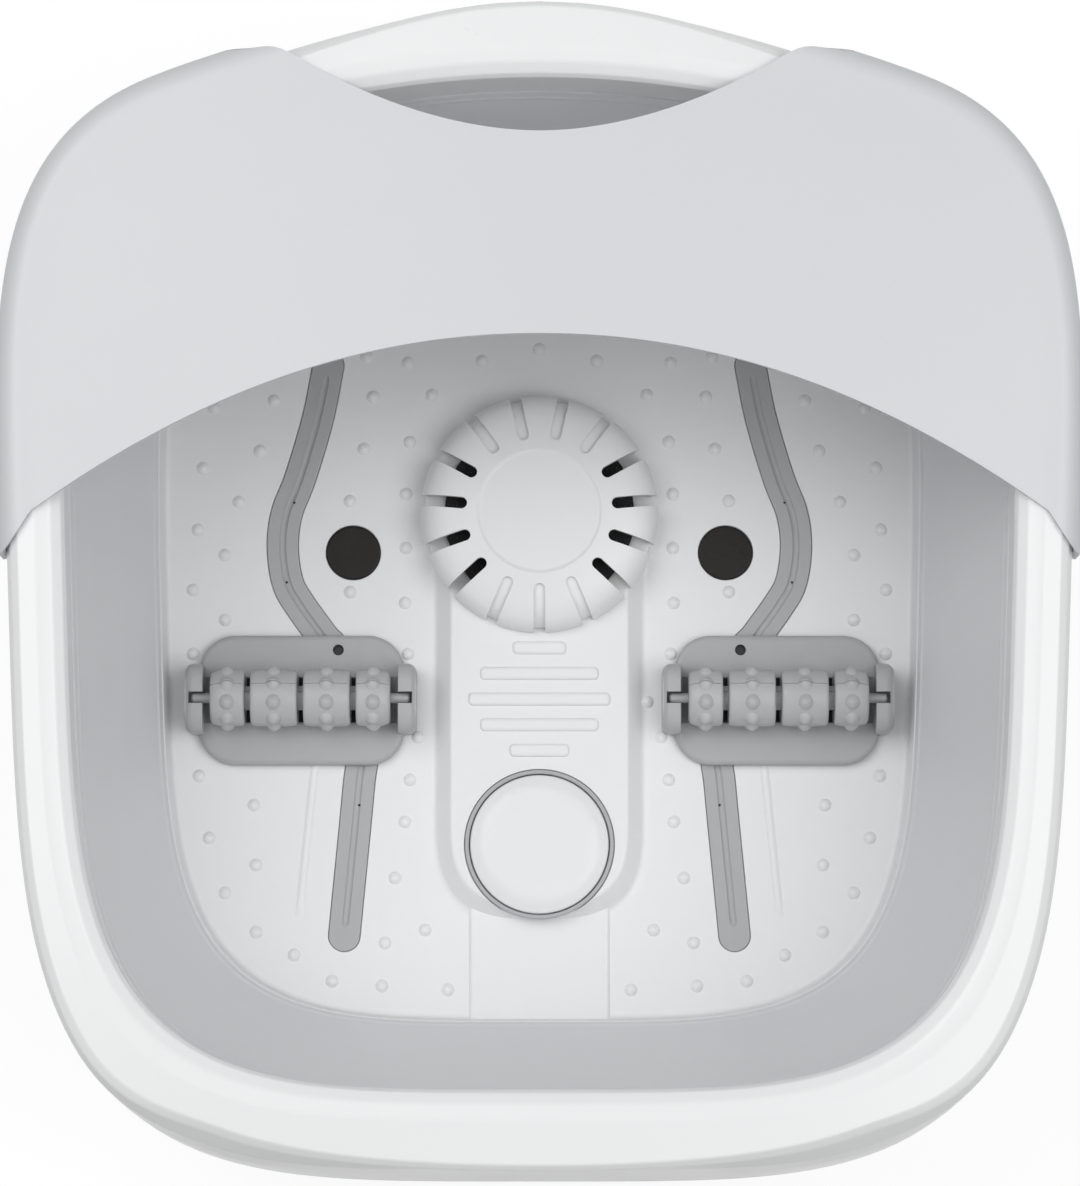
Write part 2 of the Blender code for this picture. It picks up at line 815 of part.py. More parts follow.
def rim_profile():
    """The rim's outer skin from the inner edge over the crest to the skirt, as ring recipes."""
    return [
        (WELL, (0, RIM_BOTTOM), (0, RIM_BOTTOM)),
        (WELL, (CREASE_OUTSET, RIM_CREST - CREASE_DROP), (CREASE_OUTSET, RIM_CREST - CREASE_DROP)),
        (
            WELL,
            (CREST_START, RIM_CREST - CREST_START_DROP),
            (CREST_START, RIM_CREST - CREST_START_DROP),
        ),
        (WELL, (CREST_OUTSET, RIM_CREST), (CREST_OUTSET, RIM_CREST)),
        (
            RIM_OUTER,
            (-LIP_INSET, RIM_CREST - LIP_DROP),
            (-LIP_INSET_GRIP, RIM_CREST - LIP_DROP_GRIP),
        ),
        (
            RIM_OUTER,
            (-SHOULDER_INSET, RIM_CREST - SHOULDER_DROP),
            (-SHOULDER_INSET_GRIP, RIM_CREST - SHOULDER_DROP_GRIP),
        ),
        (
            RIM_OUTER,
            (-SKIRT_INSET, RIM_CREST - SKIRT_TOP_DROP),
            (-SKIRT_INSET_GRIP, RIM_CREST - SKIRT_TOP_DROP),
        ),
        (RIM_OUTER, (0, SKIRT_BOTTOM), (0, SKIRT_BOTTOM)),
    ]


def rim_inside():
    """The hidden skin of the channel, one wall in, from the skirt back to the inner edge."""
    wall = RIM_WALL
    return [
        (RIM_OUTER, (-wall, SKIRT_BOTTOM), (-wall, SKIRT_BOTTOM)),
        (
            RIM_OUTER,
            (-SHOULDER_INSET - wall, RIM_CREST - SHOULDER_DROP - wall / 2),
            (-SHOULDER_INSET_GRIP - wall, RIM_CREST - SHOULDER_DROP_GRIP - wall / 2),
        ),
        (
            RIM_OUTER,
            (-LIP_INSET - wall / 2, RIM_CREST - LIP_DROP - wall),
            (-LIP_INSET_GRIP - wall, RIM_CREST - LIP_DROP_GRIP - wall),
        ),
        (WELL, (CREST_OUTSET, RIM_CREST - wall), (CREST_OUTSET, RIM_CREST - wall)),
        (
            WELL,
            (CREASE_OUTSET + wall, RIM_CREST - CREASE_DROP - wall / 2),
            (CREASE_OUTSET + wall, RIM_CREST - CREASE_DROP - wall / 2),
        ),
        (WELL, (wall, RIM_BOTTOM), (wall, RIM_BOTTOM)),
    ]


def make_rim_frame():
    rings = [mixed_ring(*recipe) for recipe in rim_profile() + rim_inside()]
    return loft("rim_frame", rings, WHITE_SHELL, closed=True)


# Splash guard: one curved sheet over the back half, rolled down outside the rim

GUARD_OUTSET = 0.0020
GUARD_DROP = 0.0300
GUARD_ROLL = 0.0100
GUARD_CROWN = 0.0070
GUARD_REACH = 0.0871
GUARD_FRONT_Y = WELL_BACK - GUARD_REACH
GUARD_FRONT_FALL = 0.0660
GUARD_SIDE_Y = GUARD_FRONT_Y - GUARD_FRONT_FALL
GUARD_FRONT_HALF = 0.1900
GUARD_FRONT_POWER = 2.05
GUARD_TIP_FALL = 0.0161
GUARD_TIP_TOP_FALL = 0.0095
GUARD_TIP_STEP = 0.0071
GUARD_TIP_REACH = 0.0160
SCOOP_SETBACK = 0.0102
SCOOP_Y = WELL_BACK - SCOOP_SETBACK
SCOOP_RISE = 0.0340
SCOOP_HALF = 0.1000
SCOOP_POWER = 1.9
SCOOP_SPREAD = 1.3
GUARD_TOP = RIM_CREST + SEAT_GAP + GUARD_WALL
GUARD_OVAL = RIM_OUTER.grown(GUARD_OUTSET)
GUARD_CREST = WELL.grown(CREST_OUTSET)
GUARD_COLUMNS = 40
ROLL_ROWS = 3
PLATE_ROWS = 4
EDGE_STEPS = 16


def eased_curve(middle, change, half, power, reach):
    """Plan points of a symmetric curve that leaves its middle height by a power of the distance."""
    points = []
    for step in range(-EDGE_STEPS, EDGE_STEPS + 1):
        share = reach * step / EDGE_STEPS
        points.append((share * half, middle + change * abs(share) ** power))
    return points


def guard_front():
    """The guard's front edge as seen from above: a wide arch that ends over the side rims."""
    arch = eased_curve(
        GUARD_FRONT_Y, -GUARD_FRONT_FALL, GUARD_FRONT_HALF, GUARD_FRONT_POWER, 1
    )
    tips = [
        (GUARD_FRONT_HALF + GUARD_TIP_STEP, GUARD_SIDE_Y - GUARD_TIP_TOP_FALL),
        (GUARD_FRONT_HALF + GUARD_TIP_REACH, GUARD_SIDE_Y - GUARD_TIP_FALL),
    ]
    return [(-x, y) for x, y in reversed(tips)] + arch + tips


def front_reach(angle):
    """The plan distance from the middle to the front edge, in the given direction."""
    pairs = [(math.atan2(y, x), math.hypot(x, y)) for x, y in reversed(guard_front())]
    for (angle_a, radius_a), (angle_b, radius_b) in zip(pairs, pairs[1:]):
        if angle_a <= angle <= angle_b:
            share = (angle - angle_a) / (angle_b - angle_a)
            return radius_a + (radius_b - radius_a) * share
    return pairs[0][1]


def guard_section(angle):
    """One closed slice of the guard: up the flange, round the roll, over the plate and back."""
    edge = GUARD_OVAL.point(angle, 0)
    outer = edge.length
    unit = edge.normalized()
    crest = GUARD_CREST.point(angle, 0).length
    inner_end = min(
        front_reach(math.atan2(edge.y, edge.x)) - OVERRUN, outer - GUARD_ROLL - OVERRUN
    )
    skin = [(outer, GUARD_TOP - GUARD_DROP)]
    lining = [(outer - GUARD_WALL, GUARD_TOP - GUARD_DROP)]
    for row in range(ROLL_ROWS + 1):
        turn = math.pi / 2 * row / ROLL_ROWS
        for points, radius in ((skin, GUARD_ROLL), (lining, GUARD_ROLL - GUARD_WALL)):
            points.append(
                (
                    outer - GUARD_ROLL + radius * math.cos(turn),
                    GUARD_TOP - GUARD_ROLL + radius * math.sin(turn),
                )
            )
    for row in range(1, PLATE_ROWS + 1):
        reach = outer - GUARD_ROLL
        radius = reach + (inner_end - reach) * row / PLATE_ROWS
        crown = GUARD_CROWN * max(0, 1 - (radius / crest) ** 2)
        skin.append((radius, GUARD_TOP + crown))
        lining.append((radius, GUARD_TOP + crown - GUARD_WALL))
    return [unit * radius + Vector((0, 0, height)) for radius, height in skin + lining[::-1]]


def make_splash_guard():
    rings = [
        guard_section(math.pi * step / GUARD_COLUMNS) for step in range(GUARD_COLUMNS + 1)
    ]
    guard = loft("splash_guard", rings, GUARD_GREY)
    low = GUARD_TOP - GUARD_DROP - OVERRUN
    high = GUARD_TOP + GUARD_CROWN + OVERRUN
    front = guard_front()
    ahead = [(x, -GUARD_DROP) for x in (front[-1][0], front[0][0])]
    cut(guard, prism("guard front cut", front + ahead, low, high, GUARD_GREY))
    scoop = eased_curve(SCOOP_Y, SCOOP_RISE, SCOOP_HALF, SCOOP_POWER, SCOOP_SPREAD)
    behind = [(x, y + RIM_BACK_WIDTH) for x, y in (scoop[-1], scoop[0])]
    cut(guard, prism("guard scoop cut", scoop + behind, low, high, GUARD_GREY))
    return guard


# Dome cover and its filter

DOME_BASE = PLATEAU_TOP + SEAT_GAP
DOME_HEIGHT = 0.0152
DOME_WALL = 0.0025
DOME_TOP_RADIUS = 0.0240
DOME_TOP_DIP = 0.0006
DOME_STEPS = 45
SLOT_PITCH = math.radians(24)
SLOT_WIDTH = 0.0048
SLOT_INNER = 0.0288
SLOT_END_STEPS = 3
GROOVE_DEPTH = 0.0010
THROUGH_SLOTS = (2, 3, 4, 5, 10, 11, 12, 13)
FILTER_INSET = 0.0093
FILTER_RADIUS = DOME_RADIUS - FILTER_INSET
FILTER_THICKNESS = 0.0022
HOLLOW_DROP = 4
DOME_SHOULDER_SHARES = ((1.0, 0.22), (0.975, 0.48), (0.91, 0.72), (0.80, 0.87), (0.635, 0.94))


def dome_profile():
    """The dome's outer skin from its foot up to the middle."""
    profile = [(DOME_RADIUS, 0)]
    for radius_share, height_share in DOME_SHOULDER_SHARES:
        profile.append((DOME_RADIUS * radius_share, DOME_HEIGHT * height_share))
    profile.append((DOME_TOP_RADIUS + DOME_TOP_DIP, DOME_HEIGHT))
    profile.append((DOME_TOP_RADIUS, DOME_HEIGHT - DOME_TOP_DIP))
    return profile


def dome_hollow():
    """The room inside the dome, as a cutter one wall smaller than its skin."""
    profile = [(DOME_RADIUS - DOME_WALL, -OVERRUN)]
    for radius_share, height_share in DOME_SHOULDER_SHARES[:4]:
        radius = DOME_RADIUS * radius_share - DOME_WALL
        height = DOME_HEIGHT * height_share
        height -= DOME_WALL * (1 - radius_share) * HOLLOW_DROP
        profile.append((radius, height))
    profile.append((DOME_TOP_RADIUS, DOME_HEIGHT - DOME_TOP_DIP - DOME_WALL))
    return profile


def radial_slots(name, indices, low, high):
    """Round-ended cutters that run out past the dome's side, at the given steps round it."""
    slots = []
    for index in indices:
        outline = [(DOME_RADIUS + OVERRUN, -SLOT_WIDTH / 2), (DOME_RADIUS + OVERRUN, SLOT_WIDTH / 2)]
        for step in range(SLOT_END_STEPS + 1):
            angle = math.pi / 2 + math.pi * step / SLOT_END_STEPS
            outline.append(
                (
                    SLOT_INNER + SLOT_WIDTH / 2 + SLOT_WIDTH / 2 * math.cos(angle),
                    SLOT_WIDTH / 2 * math.sin(angle),
                )
            )
        slot = prism("slot", outline, low, high, WHITE_SHELL)
        slot.rotation_euler = (0, 0, -math.pi / 2 + index * SLOT_PITCH)
        slots.append(slot)
    tool = group(name, slots)
    tool.location = (0, DOME_Y, 0)
    return tool


def make_dome_cover():
    place = (0, DOME_Y, DOME_BASE)
    dome = turned("dome_cover", dome_profile(), WHITE_SHELL, place, DOME_STEPS)
    cut(dome, turned("dome hollow", dome_hollow(), WHITE_SHELL, place))
    top = DOME_BASE + DOME_HEIGHT
    cut(dome, radial_slots("dome slots", THROUGH_SLOTS, DOME_BASE - OVERRUN, top + OVERRUN))
    blind = [index for index in range(15) if index not in THROUGH_SLOTS]
    groove_floor = top - 2 * GROOVE_DEPTH
    cut(dome, radial_slots("dome grooves", blind, groove_floor, top + OVERRUN))
    return dome


def make_dome_filter():
    return turned(
        "dome_filter",
        [(FILTER_RADIUS, 0), (FILTER_RADIUS, FILTER_THICKNESS)],
        NEAR_BLACK,
        (0, DOME_Y, DOME_BASE),
    )


# Discs and air strips in the floor


def side_names(places):
    return zip(("right", "left"), places)


def make_discs():
    height = DISC_RECESS_DEPTH - SEAT_GAP + DISC_PROUD
    edge = DISC_PROUD / 2
    profile = [
        (DISC_RADIUS, 0),
        (DISC_RADIUS, height - edge),
        (DISC_RADIUS - edge, height),
    ]
    for side, place in side_names(mirrored(DISC_PLACE)):
        location = (*place, FLOOR_TOP - DISC_RECESS_DEPTH + SEAT_GAP)
        turned("magnet_disc_" + side, profile, NEAR_BLACK, location)


def make_strips():
    bottom = FLOOR_TOP - STRIP_RECESS_DEPTH + SEAT_GAP
    top = FLOOR_TOP + STRIP_PROUD
    right = strip_outline(STRIP_WIDTH / 2)
    for side, outline, place in zip(("right", "left"), (right, flipped(right)), nipple_places()):
        strip = prism("bubble_strip_" + side, outline, bottom, top, MID_GREY)
        nipple = cylinder(
            "nipple " + side,
            STRIP_NIPPLE_RADIUS,
            bottom - STRIP_NIPPLE_LENGTH,
            (bottom + top) / 2,
            MID_GREY,
            place,
            SMALL_STEPS,
        )
        join(strip, nipple)


# Foot button, its seal, spring and switch

BUTTON_TRAVEL = 0.0025
BUTTON_FLAT_RADIUS = 0.0225
BUTTON_EDGE_RISE = 0.0012
BUTTON_CROWN = 0.0022
BUTTON_DEPTH = 0.0050
STEM_BOTTOM = SWITCH_TOP + BUTTON_TRAVEL + 2 * SEAT_GAP
SPRING_RADIUS = 0.0080
SPRING_WIRE = 0.0005
SPRING_TURNS = 4
SPRING_TURN_STEPS = 8


def make_foot_button():
    top = PLATEAU_TOP + BUTTON_EDGE_RISE
    under = top - BUTTON_DEPTH
    location = (0, BUTTON_Y, top)
    profile = [
        (BUTTON_STEM_RADIUS, STEM_BOTTOM - top),
        (BUTTON_STEM_RADIUS, under - top),
        (BUTTON_RADIUS, under - top),
        (BUTTON_RADIUS, 0),
        (BUTTON_FLAT_RADIUS, BUTTON_CROWN),
    ]
    return turned("foot_button", profile, WHITE_SHELL, location, OVAL_STEPS // 2)


def make_button_seal():
    inner = BUTTON_RADIUS + RUNNING_GAP
    bottom = SEAL_LEDGE + SEAT_GAP
    top = PLATEAU_TOP + BUTTON_EDGE_RISE / 2
    profile = [
        (inner + SEAL_WIDTH, bottom),
        (inner + SEAL_WIDTH, top),
        (inner, top),
        (inner, bottom),
    ]
    place = (0, BUTTON_Y, 0)
    return turned("button_seal", profile, MID_GREY, place, OVAL_STEPS // 2, closed=True)


def make_button_spring():
    """An open coil round the button's stem, from the pocket's floor to the button."""
    low = BUTTON_RECESS_FLOOR + SEAT_GAP + SPRING_WIRE
    high = PLATEAU_TOP + BUTTON_EDGE_RISE - BUTTON_DEPTH - SEAT_GAP - SPRING_WIRE
    count = SPRING_TURNS * SPRING_TURN_STEPS
    points = []
    for step in range(count + 1):
        angle = 2 * math.pi * step / SPRING_TURN_STEPS
        x = SPRING_RADIUS * math.cos(angle)
        y = BUTTON_Y + SPRING_RADIUS * math.sin(angle)
        points.append((x, y, low + (high - low) * step / count))
    return tube("button_spring", points, SPRING_WIRE, STEEL, 1, 1)


def make_button_switch():
    half = SWITCH_SIDE / 2
    return box(
        "button_switch",
        (-half, BUTTON_Y - half, SWITCH_TOP - SWITCH_HEIGHT),
        (half, BUTTON_Y + half, SWITCH_TOP),
        NEAR_BLACK,
    )


# Roller cradles, axles and rollers

CRADLE_PLACE = (0.0945, -0.0345)
CRADLE_HALF_LENGTH = 0.0408
CRADLE_HALF_WIDTH = 0.0258
CRADLE_POWER = 4.4
CRADLE_BOTTOM = FLOOR_TOP + STRIP_PROUD + SEAT_GAP
CRADLE_RISE = 0.0046
ROLLER_RADIUS = 0.0112
NUB_RISE = 0.0019
NUB_RADIUS = 0.0027
NUB_SINK = 0.0012
NUB_TOP_SHARE = 0.55
ROLLER_CLEARANCE = 0.0012
TROUGH_FLOOR = 0.0012
TROUGH_RADIUS = ROLLER_RADIUS + NUB_RISE + ROLLER_CLEARANCE
ROLLER_AXIS = CRADLE_BOTTOM + TROUGH_FLOOR + TROUGH_RADIUS
AXLE_RADIUS = 0.0020
EAR_INNER = 0.0385
EAR_OUTER = 0.0458
EAR_HALF_WIDTH = 0.0137
EAR_TOP_RISE = 0.0038
EAR_CORNER = 0.0040
EAR_EASE = EAR_CORNER / 3
AXLE_HALF_LENGTH = 0.0432
AXLE_SEAT_END = 0.0442
DRUM_STARTS = (-0.0356, -0.0197, 0.0012, 0.0220)
DRUM_ENDS = (-0.0220, -0.0012, 0.0197, 0.0356)
DRUM_EDGE = 0.0012
NECK_RADIUS = 0.0045
END_TAPER = 0.0012
ROLLER_STEPS = 16
PLATE_HOLE_PLACE = (0.0145, 0.0200)
PLATE_HOLE_RADIUS = 0.0022
NUBS_ROUND = 9
NUB_STEPS = 5
PARTING_ANGLE = math.radians(-28)


def make_cradle(side, place):
    plate = [
        (x, y)
        for x, y in rounded_outline(CRADLE_HALF_LENGTH, CRADLE_HALF_WIDTH, CRADLE_POWER)
    ]
    top = CRADLE_BOTTOM + CRADLE_RISE
    cradle = prism(
        "roller_cradle_" + side, plate, CRADLE_BOTTOM, top, MID_GREY, (*place, 0)
    )
    trough = turned(
        "trough " + side,
        [(TROUGH_RADIUS, -EAR_INNER), (TROUGH_RADIUS, EAR_INNER)],
        MID_GREY,
        (*place, ROLLER_AXIS),
        OVAL_STEPS // 2,
    )
    trough.rotation_euler = (0, math.pi / 2, 0)
    cut(cradle, trough)
    ears = group("ears " + side, [make_ear(place, -1), make_ear(place, 1)])
    join(cradle, ears)
    cut_axle_seat(cradle, side, place)
    hole_x = place[0] - math.copysign(PLATE_HOLE_PLACE[0], place[0])
    hole = cylinder(
        "plate hole " + side,
        PLATE_HOLE_RADIUS,
        CRADLE_BOTTOM - OVERRUN,
        top + OVERRUN,
        MID_GREY,
        (hole_x, place[1] + PLATE_HOLE_PLACE[1]),
    )
    cut(cradle, hole)
    return cradle


def cut_axle_seat(cradle, side, place):
    """Cuts the slots that the axle drops into, which end short of the ears' outer faces."""
    slot_half = AXLE_RADIUS + SEAT_GAP
    slot = box(
        "axle slot " + side,
        (place[0] - AXLE_SEAT_END, place[1] - slot_half, ROLLER_AXIS),
        (place[0] + AXLE_SEAT_END, place[1] + slot_half, ROLLER_AXIS + 2 * EAR_HALF_WIDTH),
        MID_GREY,
    )
    cut(cradle, slot)
    seat = turned(
        "axle seat " + side,
        [(slot_half, -AXLE_SEAT_END), (slot_half, AXLE_SEAT_END)],
        MID_GREY,
        (*place, ROLLER_AXIS),
        SMALL_STEPS,
    )
    seat.rotation_euler = (0, math.pi / 2, 0)
    cut(cradle, seat)


def make_ear(place, end):
    """An upright at one end of the cradle, with rounded top corners."""
    low = CRADLE_BOTTOM
    high = ROLLER_AXIS + AXLE_RADIUS + EAR_TOP_RISE
    half = EAR_HALF_WIDTH
    outline = [
        (-half, low),
        (half, low),
        (half, high - EAR_CORNER),
        (half - EAR_EASE, high - EAR_EASE),
        (half - EAR_CORNER, high),
        (EAR_CORNER - half, high),
        (EAR_EASE - half, high - EAR_EASE),
        (-half, high - EAR_CORNER),
    ]
    rings = [
        [(place[0] + end * x, place[1] + y, height) for y, height in outline]
        for x in (EAR_INNER, EAR_OUTER)
    ]
    return loft("ear", rings, MID_GREY)


def make_axle(side, carrier):
    axle = turned(
        "roller_axle_" + side,
        [(AXLE_RADIUS, -AXLE_HALF_LENGTH), (AXLE_RADIUS, AXLE_HALF_LENGTH)],
        MID_GREY,
        steps=SMALL_STEPS,
    )
    axle.rotation_euler = (0, math.pi / 2, 0)
    axle.parent = carrier
    return axle


def roller_profile():
    """The roller's outer skin along its axis: four drums with narrower necks between them."""
    profile = []
    last = len(DRUM_STARTS) - 1
    for index, (start, end) in enumerate(zip(DRUM_STARTS, DRUM_ENDS)):
        start_radius = ROLLER_RADIUS - (END_TAPER if index == 0 else 0)
        end_radius = ROLLER_RADIUS - (END_TAPER if index == last else 0)
        if index:
            profile.append((NECK_RADIUS, start))
        profile += [
            (start_radius - DRUM_EDGE, start),
            (start_radius, start + DRUM_EDGE),
            (end_radius, end - DRUM_EDGE),
            (end_radius - DRUM_EDGE, end),
        ]
        if index < last:
            profile.append((NECK_RADIUS, end))
    return profile


def make_nubs(side):
    """Low domes round the middle of each drum."""
    nubs = []
    for start, end in zip(DRUM_STARTS, DRUM_ENDS):
        for index in range(NUBS_ROUND):
            angle = 2 * math.pi * (index + 1 / 2) / NUBS_ROUND
            base = ROLLER_RADIUS - NUB_SINK
            profile = [
                (NUB_RADIUS, 0),
                (NUB_RADIUS * NUB_TOP_SHARE, NUB_SINK + NUB_RISE),
            ]
            nub = turned("nub", profile, MID_GREY, steps=NUB_STEPS)
            nub.rotation_euler = (0, math.pi / 2, 0)
            nub.data.transform(nub.matrix_basis)
            nub.rotation_euler = (0, 0, angle)
            nub.location = (base * math.cos(angle), base * math.sin(angle), (start + end) / 2)
            nubs.append(nub)
    return group("nubs " + side, nubs)


def make_roller_half(name, side, half, carrier, nubs, bore):
    """One half of the roller, split along its axis by a thin parting gap."""
    shell = turned(name, roller_profile(), MID_GREY, steps=ROLLER_STEPS)
    join(shell, nubs)
    cut(shell, bore)
    reach = ROLLER_RADIUS + NUB_RISE + OVERRUN
    length = DRUM_ENDS[-1] + OVERRUN
    part = SEAT_GAP / 2
    low_y, high_y = (-reach, part) if half > 0 else (-part, reach)
    away = box(
        f"parting {side} {half}", (-reach, low_y, -length), (reach, high_y, length), MID_GREY
    )
    cut(shell, away)
    shell.rotation_euler = (0, math.pi / 2, 0)
    shell.parent = carrier
    for tool in (nubs, bore, away):
        tool.rotation_euler = (0, math.pi / 2, 0)
        tool.parent = carrier
    return shell


def make_rollers():
    for side, place in side_names(mirrored(CRADLE_PLACE)):
        make_cradle(side, place)
        carrier = pivot("roller axis " + side, (*place, ROLLER_AXIS))
        make_axle(side, carrier)
        spinner = pivot("roller turn " + side, (0, 0, 0))
        spinner.parent = carrier
        spinner.rotation_euler = (PARTING_ANGLE, 0, 0)
        nubs = make_nubs(side)
        bore_radius = AXLE_RADIUS + RUNNING_GAP
        length = DRUM_ENDS[-1] + OVERRUN
        bore = turned(
            "roller bore " + side,
            [(bore_radius, -length), (bore_radius, length)],
            MID_GREY,
            steps=SMALL_STEPS,
        )
        make_roller_half("roller_front_shell_" + side, side, 1, spinner, nubs, bore)
        make_roller_half("roller_rear_shell_" + side, side, -1, spinner, nubs, bore)


# Heater, air blower, vibration motor and electrics inside the base

HEATER_INNER = 0.0200
HEATER_OUTER = 0.0420
HEATER_THICKNESS = 0.0050
THERMOSTAT_RADIUS = 0.0080
THERMOSTAT_HEIGHT = 0.0075
BLOWER_RADIUS = 0.0340
BLOWER_WALL = 0.0020
BLOWER_TOP = 0.0400
BLOWER_INLET = 0.0120
BLOWER_MOTOR_RADIUS = 0.0140
BLOWER_MOTOR_HEIGHT = 0.0170
SHAFT_RADIUS = 0.0010
IMPELLER_RADIUS = 0.0270
IMPELLER_PLATE = 0.0015
IMPELLER_BLADE_HEIGHT = 0.0050
IMPELLER_BLADES = 6
IMPELLER_HUB_RADIUS = 0.0040
IMPELLER_BOTTOM = 0.0120
SPIGOT_RADIUS = 0.0050
SPIGOT_BORE = 0.0030
SPIGOT_LENGTH = 0.0120
SPIGOT_HEIGHT = 0.0240
HOSE_RADIUS = 0.0042
MOTOR_PLACE = (0.0000, -0.0345)
MOTOR_AXIS = 0.0400
MOTOR_RADIUS = 0.0120
MOTOR_HALF_LENGTH = 0.0140
MOTOR_SHAFT_LENGTH = 0.0100
MOUNT_HALF_LENGTH = 0.0110
MOUNT_WALL = 0.0040
WEIGHT_RADIUS = 0.0090
WEIGHT_LENGTH = 0.0060
WEIGHT_HUB_RADIUS = 0.0030
POWER_BLOCK_INSET = 0.0080
POWER_BLOCK_HEIGHT = 0.0200
GLAND_FLANGE_RADIUS = 0.0105
GLAND_FLANGE_THICKNESS = 0.0030
GLAND_INSIDE = 0.0080
GLAND_OUTSIDE = 0.0060
GLAND_BORE = 0.0036
LEAD_RADIUS = 0.0030


def make_heater():
    top = FLOOR_BOTTOM - SEAT_GAP
    profile = [
        (HEATER_OUTER, top - HEATER_THICKNESS),
        (HEATER_OUTER, top),
        (HEATER_INNER, top),
        (HEATER_INNER, top - HEATER_THICKNESS),
    ]
    turned("heating_element", profile, STEEL, (0, DOME_Y, 0), closed=True)
    bottom = top - THERMOSTAT_HEIGHT
    cylinder("thermostat", THERMOSTAT_RADIUS, bottom, top, NEAR_BLACK, (0, DOME_Y), 2 * SMALL_STEPS)


def spigot(name, radius, turn, start, end):
    """A pipe along the ground from the blower's middle, in the given direction."""
    pipe = turned(
        name,
        [(radius, start), (radius, end)],
        NEAR_BLACK,
        (*BLOWER_PLACE, SPIGOT_HEIGHT),
        SMALL_STEPS,
    )
    pipe.rotation_euler = (0, math.pi / 2, turn)
    return pipe


def make_blower_housing():
    bottom = COVER_TOP + SEAT_GAP
    place = (*BLOWER_PLACE, 0)
    profile = [
        (BLOWER_RADIUS, bottom),
        (BLOWER_RADIUS, BLOWER_TOP),
        (BLOWER_RADIUS - BLOWER_WALL, BLOWER_TOP),
        (BLOWER_RADIUS - BLOWER_WALL, bottom + BLOWER_WALL),
        (BLOWER_INLET, bottom + BLOWER_WALL),
        (BLOWER_INLET, bottom),
    ]
    housing = turned("blower_housing", profile, NEAR_BLACK, place, closed=True)
    start = BLOWER_RADIUS - BLOWER_WALL / 2
    end = BLOWER_RADIUS + SPIGOT_LENGTH
    turns = (0, -math.pi / 2)
    pipes = [spigot("spigot", SPIGOT_RADIUS, turn, start, end) for turn in turns]
    join(housing, group("blower spigots", pipes))
    inside = BLOWER_RADIUS - 2 * BLOWER_WALL
    bores = [spigot("spigot bore", SPIGOT_BORE, turn, inside, end + OVERRUN) for turn in turns]
    cut(housing, group("spigot bores", bores))


def make_blower_motor():
    lid_bottom = BLOWER_TOP + SEAT_GAP
    cylinder(
        "blower_lid",
        BLOWER_RADIUS,
        lid_bottom,
        lid_bottom + BLOWER_WALL,
        NEAR_BLACK,
        BLOWER_PLACE,
    )
    top = BLOWER_TOP
    profile = [
        (SHAFT_RADIUS, IMPELLER_BOTTOM),
        (SHAFT_RADIUS, top - BLOWER_MOTOR_HEIGHT),
        (BLOWER_MOTOR_RADIUS, top - BLOWER_MOTOR_HEIGHT),
        (BLOWER_MOTOR_RADIUS, top),
    ]
    turned("blower_motor", profile, STEEL, (*BLOWER_PLACE, 0), 2 * SMALL_STEPS)


def make_impeller():
    """A plate with blades under it, turning about the blower's upright axis."""
    plate_top = IMPELLER_BLADE_HEIGHT + IMPELLER_PLATE
    bore = SHAFT_RADIUS + SEAT_GAP
    profile = [
        (IMPELLER_HUB_RADIUS, 0),
        (IMPELLER_HUB_RADIUS, IMPELLER_BLADE_HEIGHT),
        (IMPELLER_RADIUS, IMPELLER_BLADE_HEIGHT),
        (IMPELLER_RADIUS, plate_top),
        (bore, plate_top),
        (bore, 0),
    ]
    location = (*BLOWER_PLACE, IMPELLER_BOTTOM)
    impeller = turned("blower_impeller", profile, NEAR_BLACK, location, 2 * SMALL_STEPS, True)
    blades = []
    half = IMPELLER_PLATE / 2
    for index in range(IMPELLER_BLADES):
        blade = box(
            "blade",
            (IMPELLER_HUB_RADIUS - half, -half, half),
            (IMPELLER_RADIUS - half, half, IMPELLER_BLADE_HEIGHT + half),
            NEAR_BLACK,
        )
        blade.rotation_euler = (0, 0, 2 * math.pi * index / IMPELLER_BLADES)
        blades.append(blade)
    tool = group("impeller blades", blades)
    tool.location = location
    join(impeller, tool)


def make_hoses():
    """The air hoses from the blower's two spigots to the nipples under the strips."""
    right, left = nipple_places()
    nipple_end = FLOOR_TOP - STRIP_RECESS_DEPTH - STRIP_NIPPLE_LENGTH
    x, y = BLOWER_PLACE
    out = BLOWER_RADIUS + SPIGOT_LENGTH + SEAT_GAP
    bend = 4 * HOSE_RADIUS
    tube(
        "air_hose_left",
        [
            (x, y - out, SPIGOT_HEIGHT),
            (x, y - out - 2 * HOSE_RADIUS, SPIGOT_HEIGHT),
            (left[0], left[1], nipple_end - bend),
            (left[0], left[1], nipple_end),
        ],
        HOSE_RADIUS,
        NEAR_BLACK,
    )
    tube(
        "air_hose_right",
        [
            (x + out, y, SPIGOT_HEIGHT),
            (x + out + bend, y, SPIGOT_HEIGHT),
            (0, right[1] + bend, SPIGOT_HEIGHT),
            (right[0] - 2 * bend, right[1], SPIGOT_HEIGHT),
            (right[0], right[1], nipple_end - bend),
            (right[0], right[1], nipple_end),
        ],
        HOSE_RADIUS,
        NEAR_BLACK,
    )


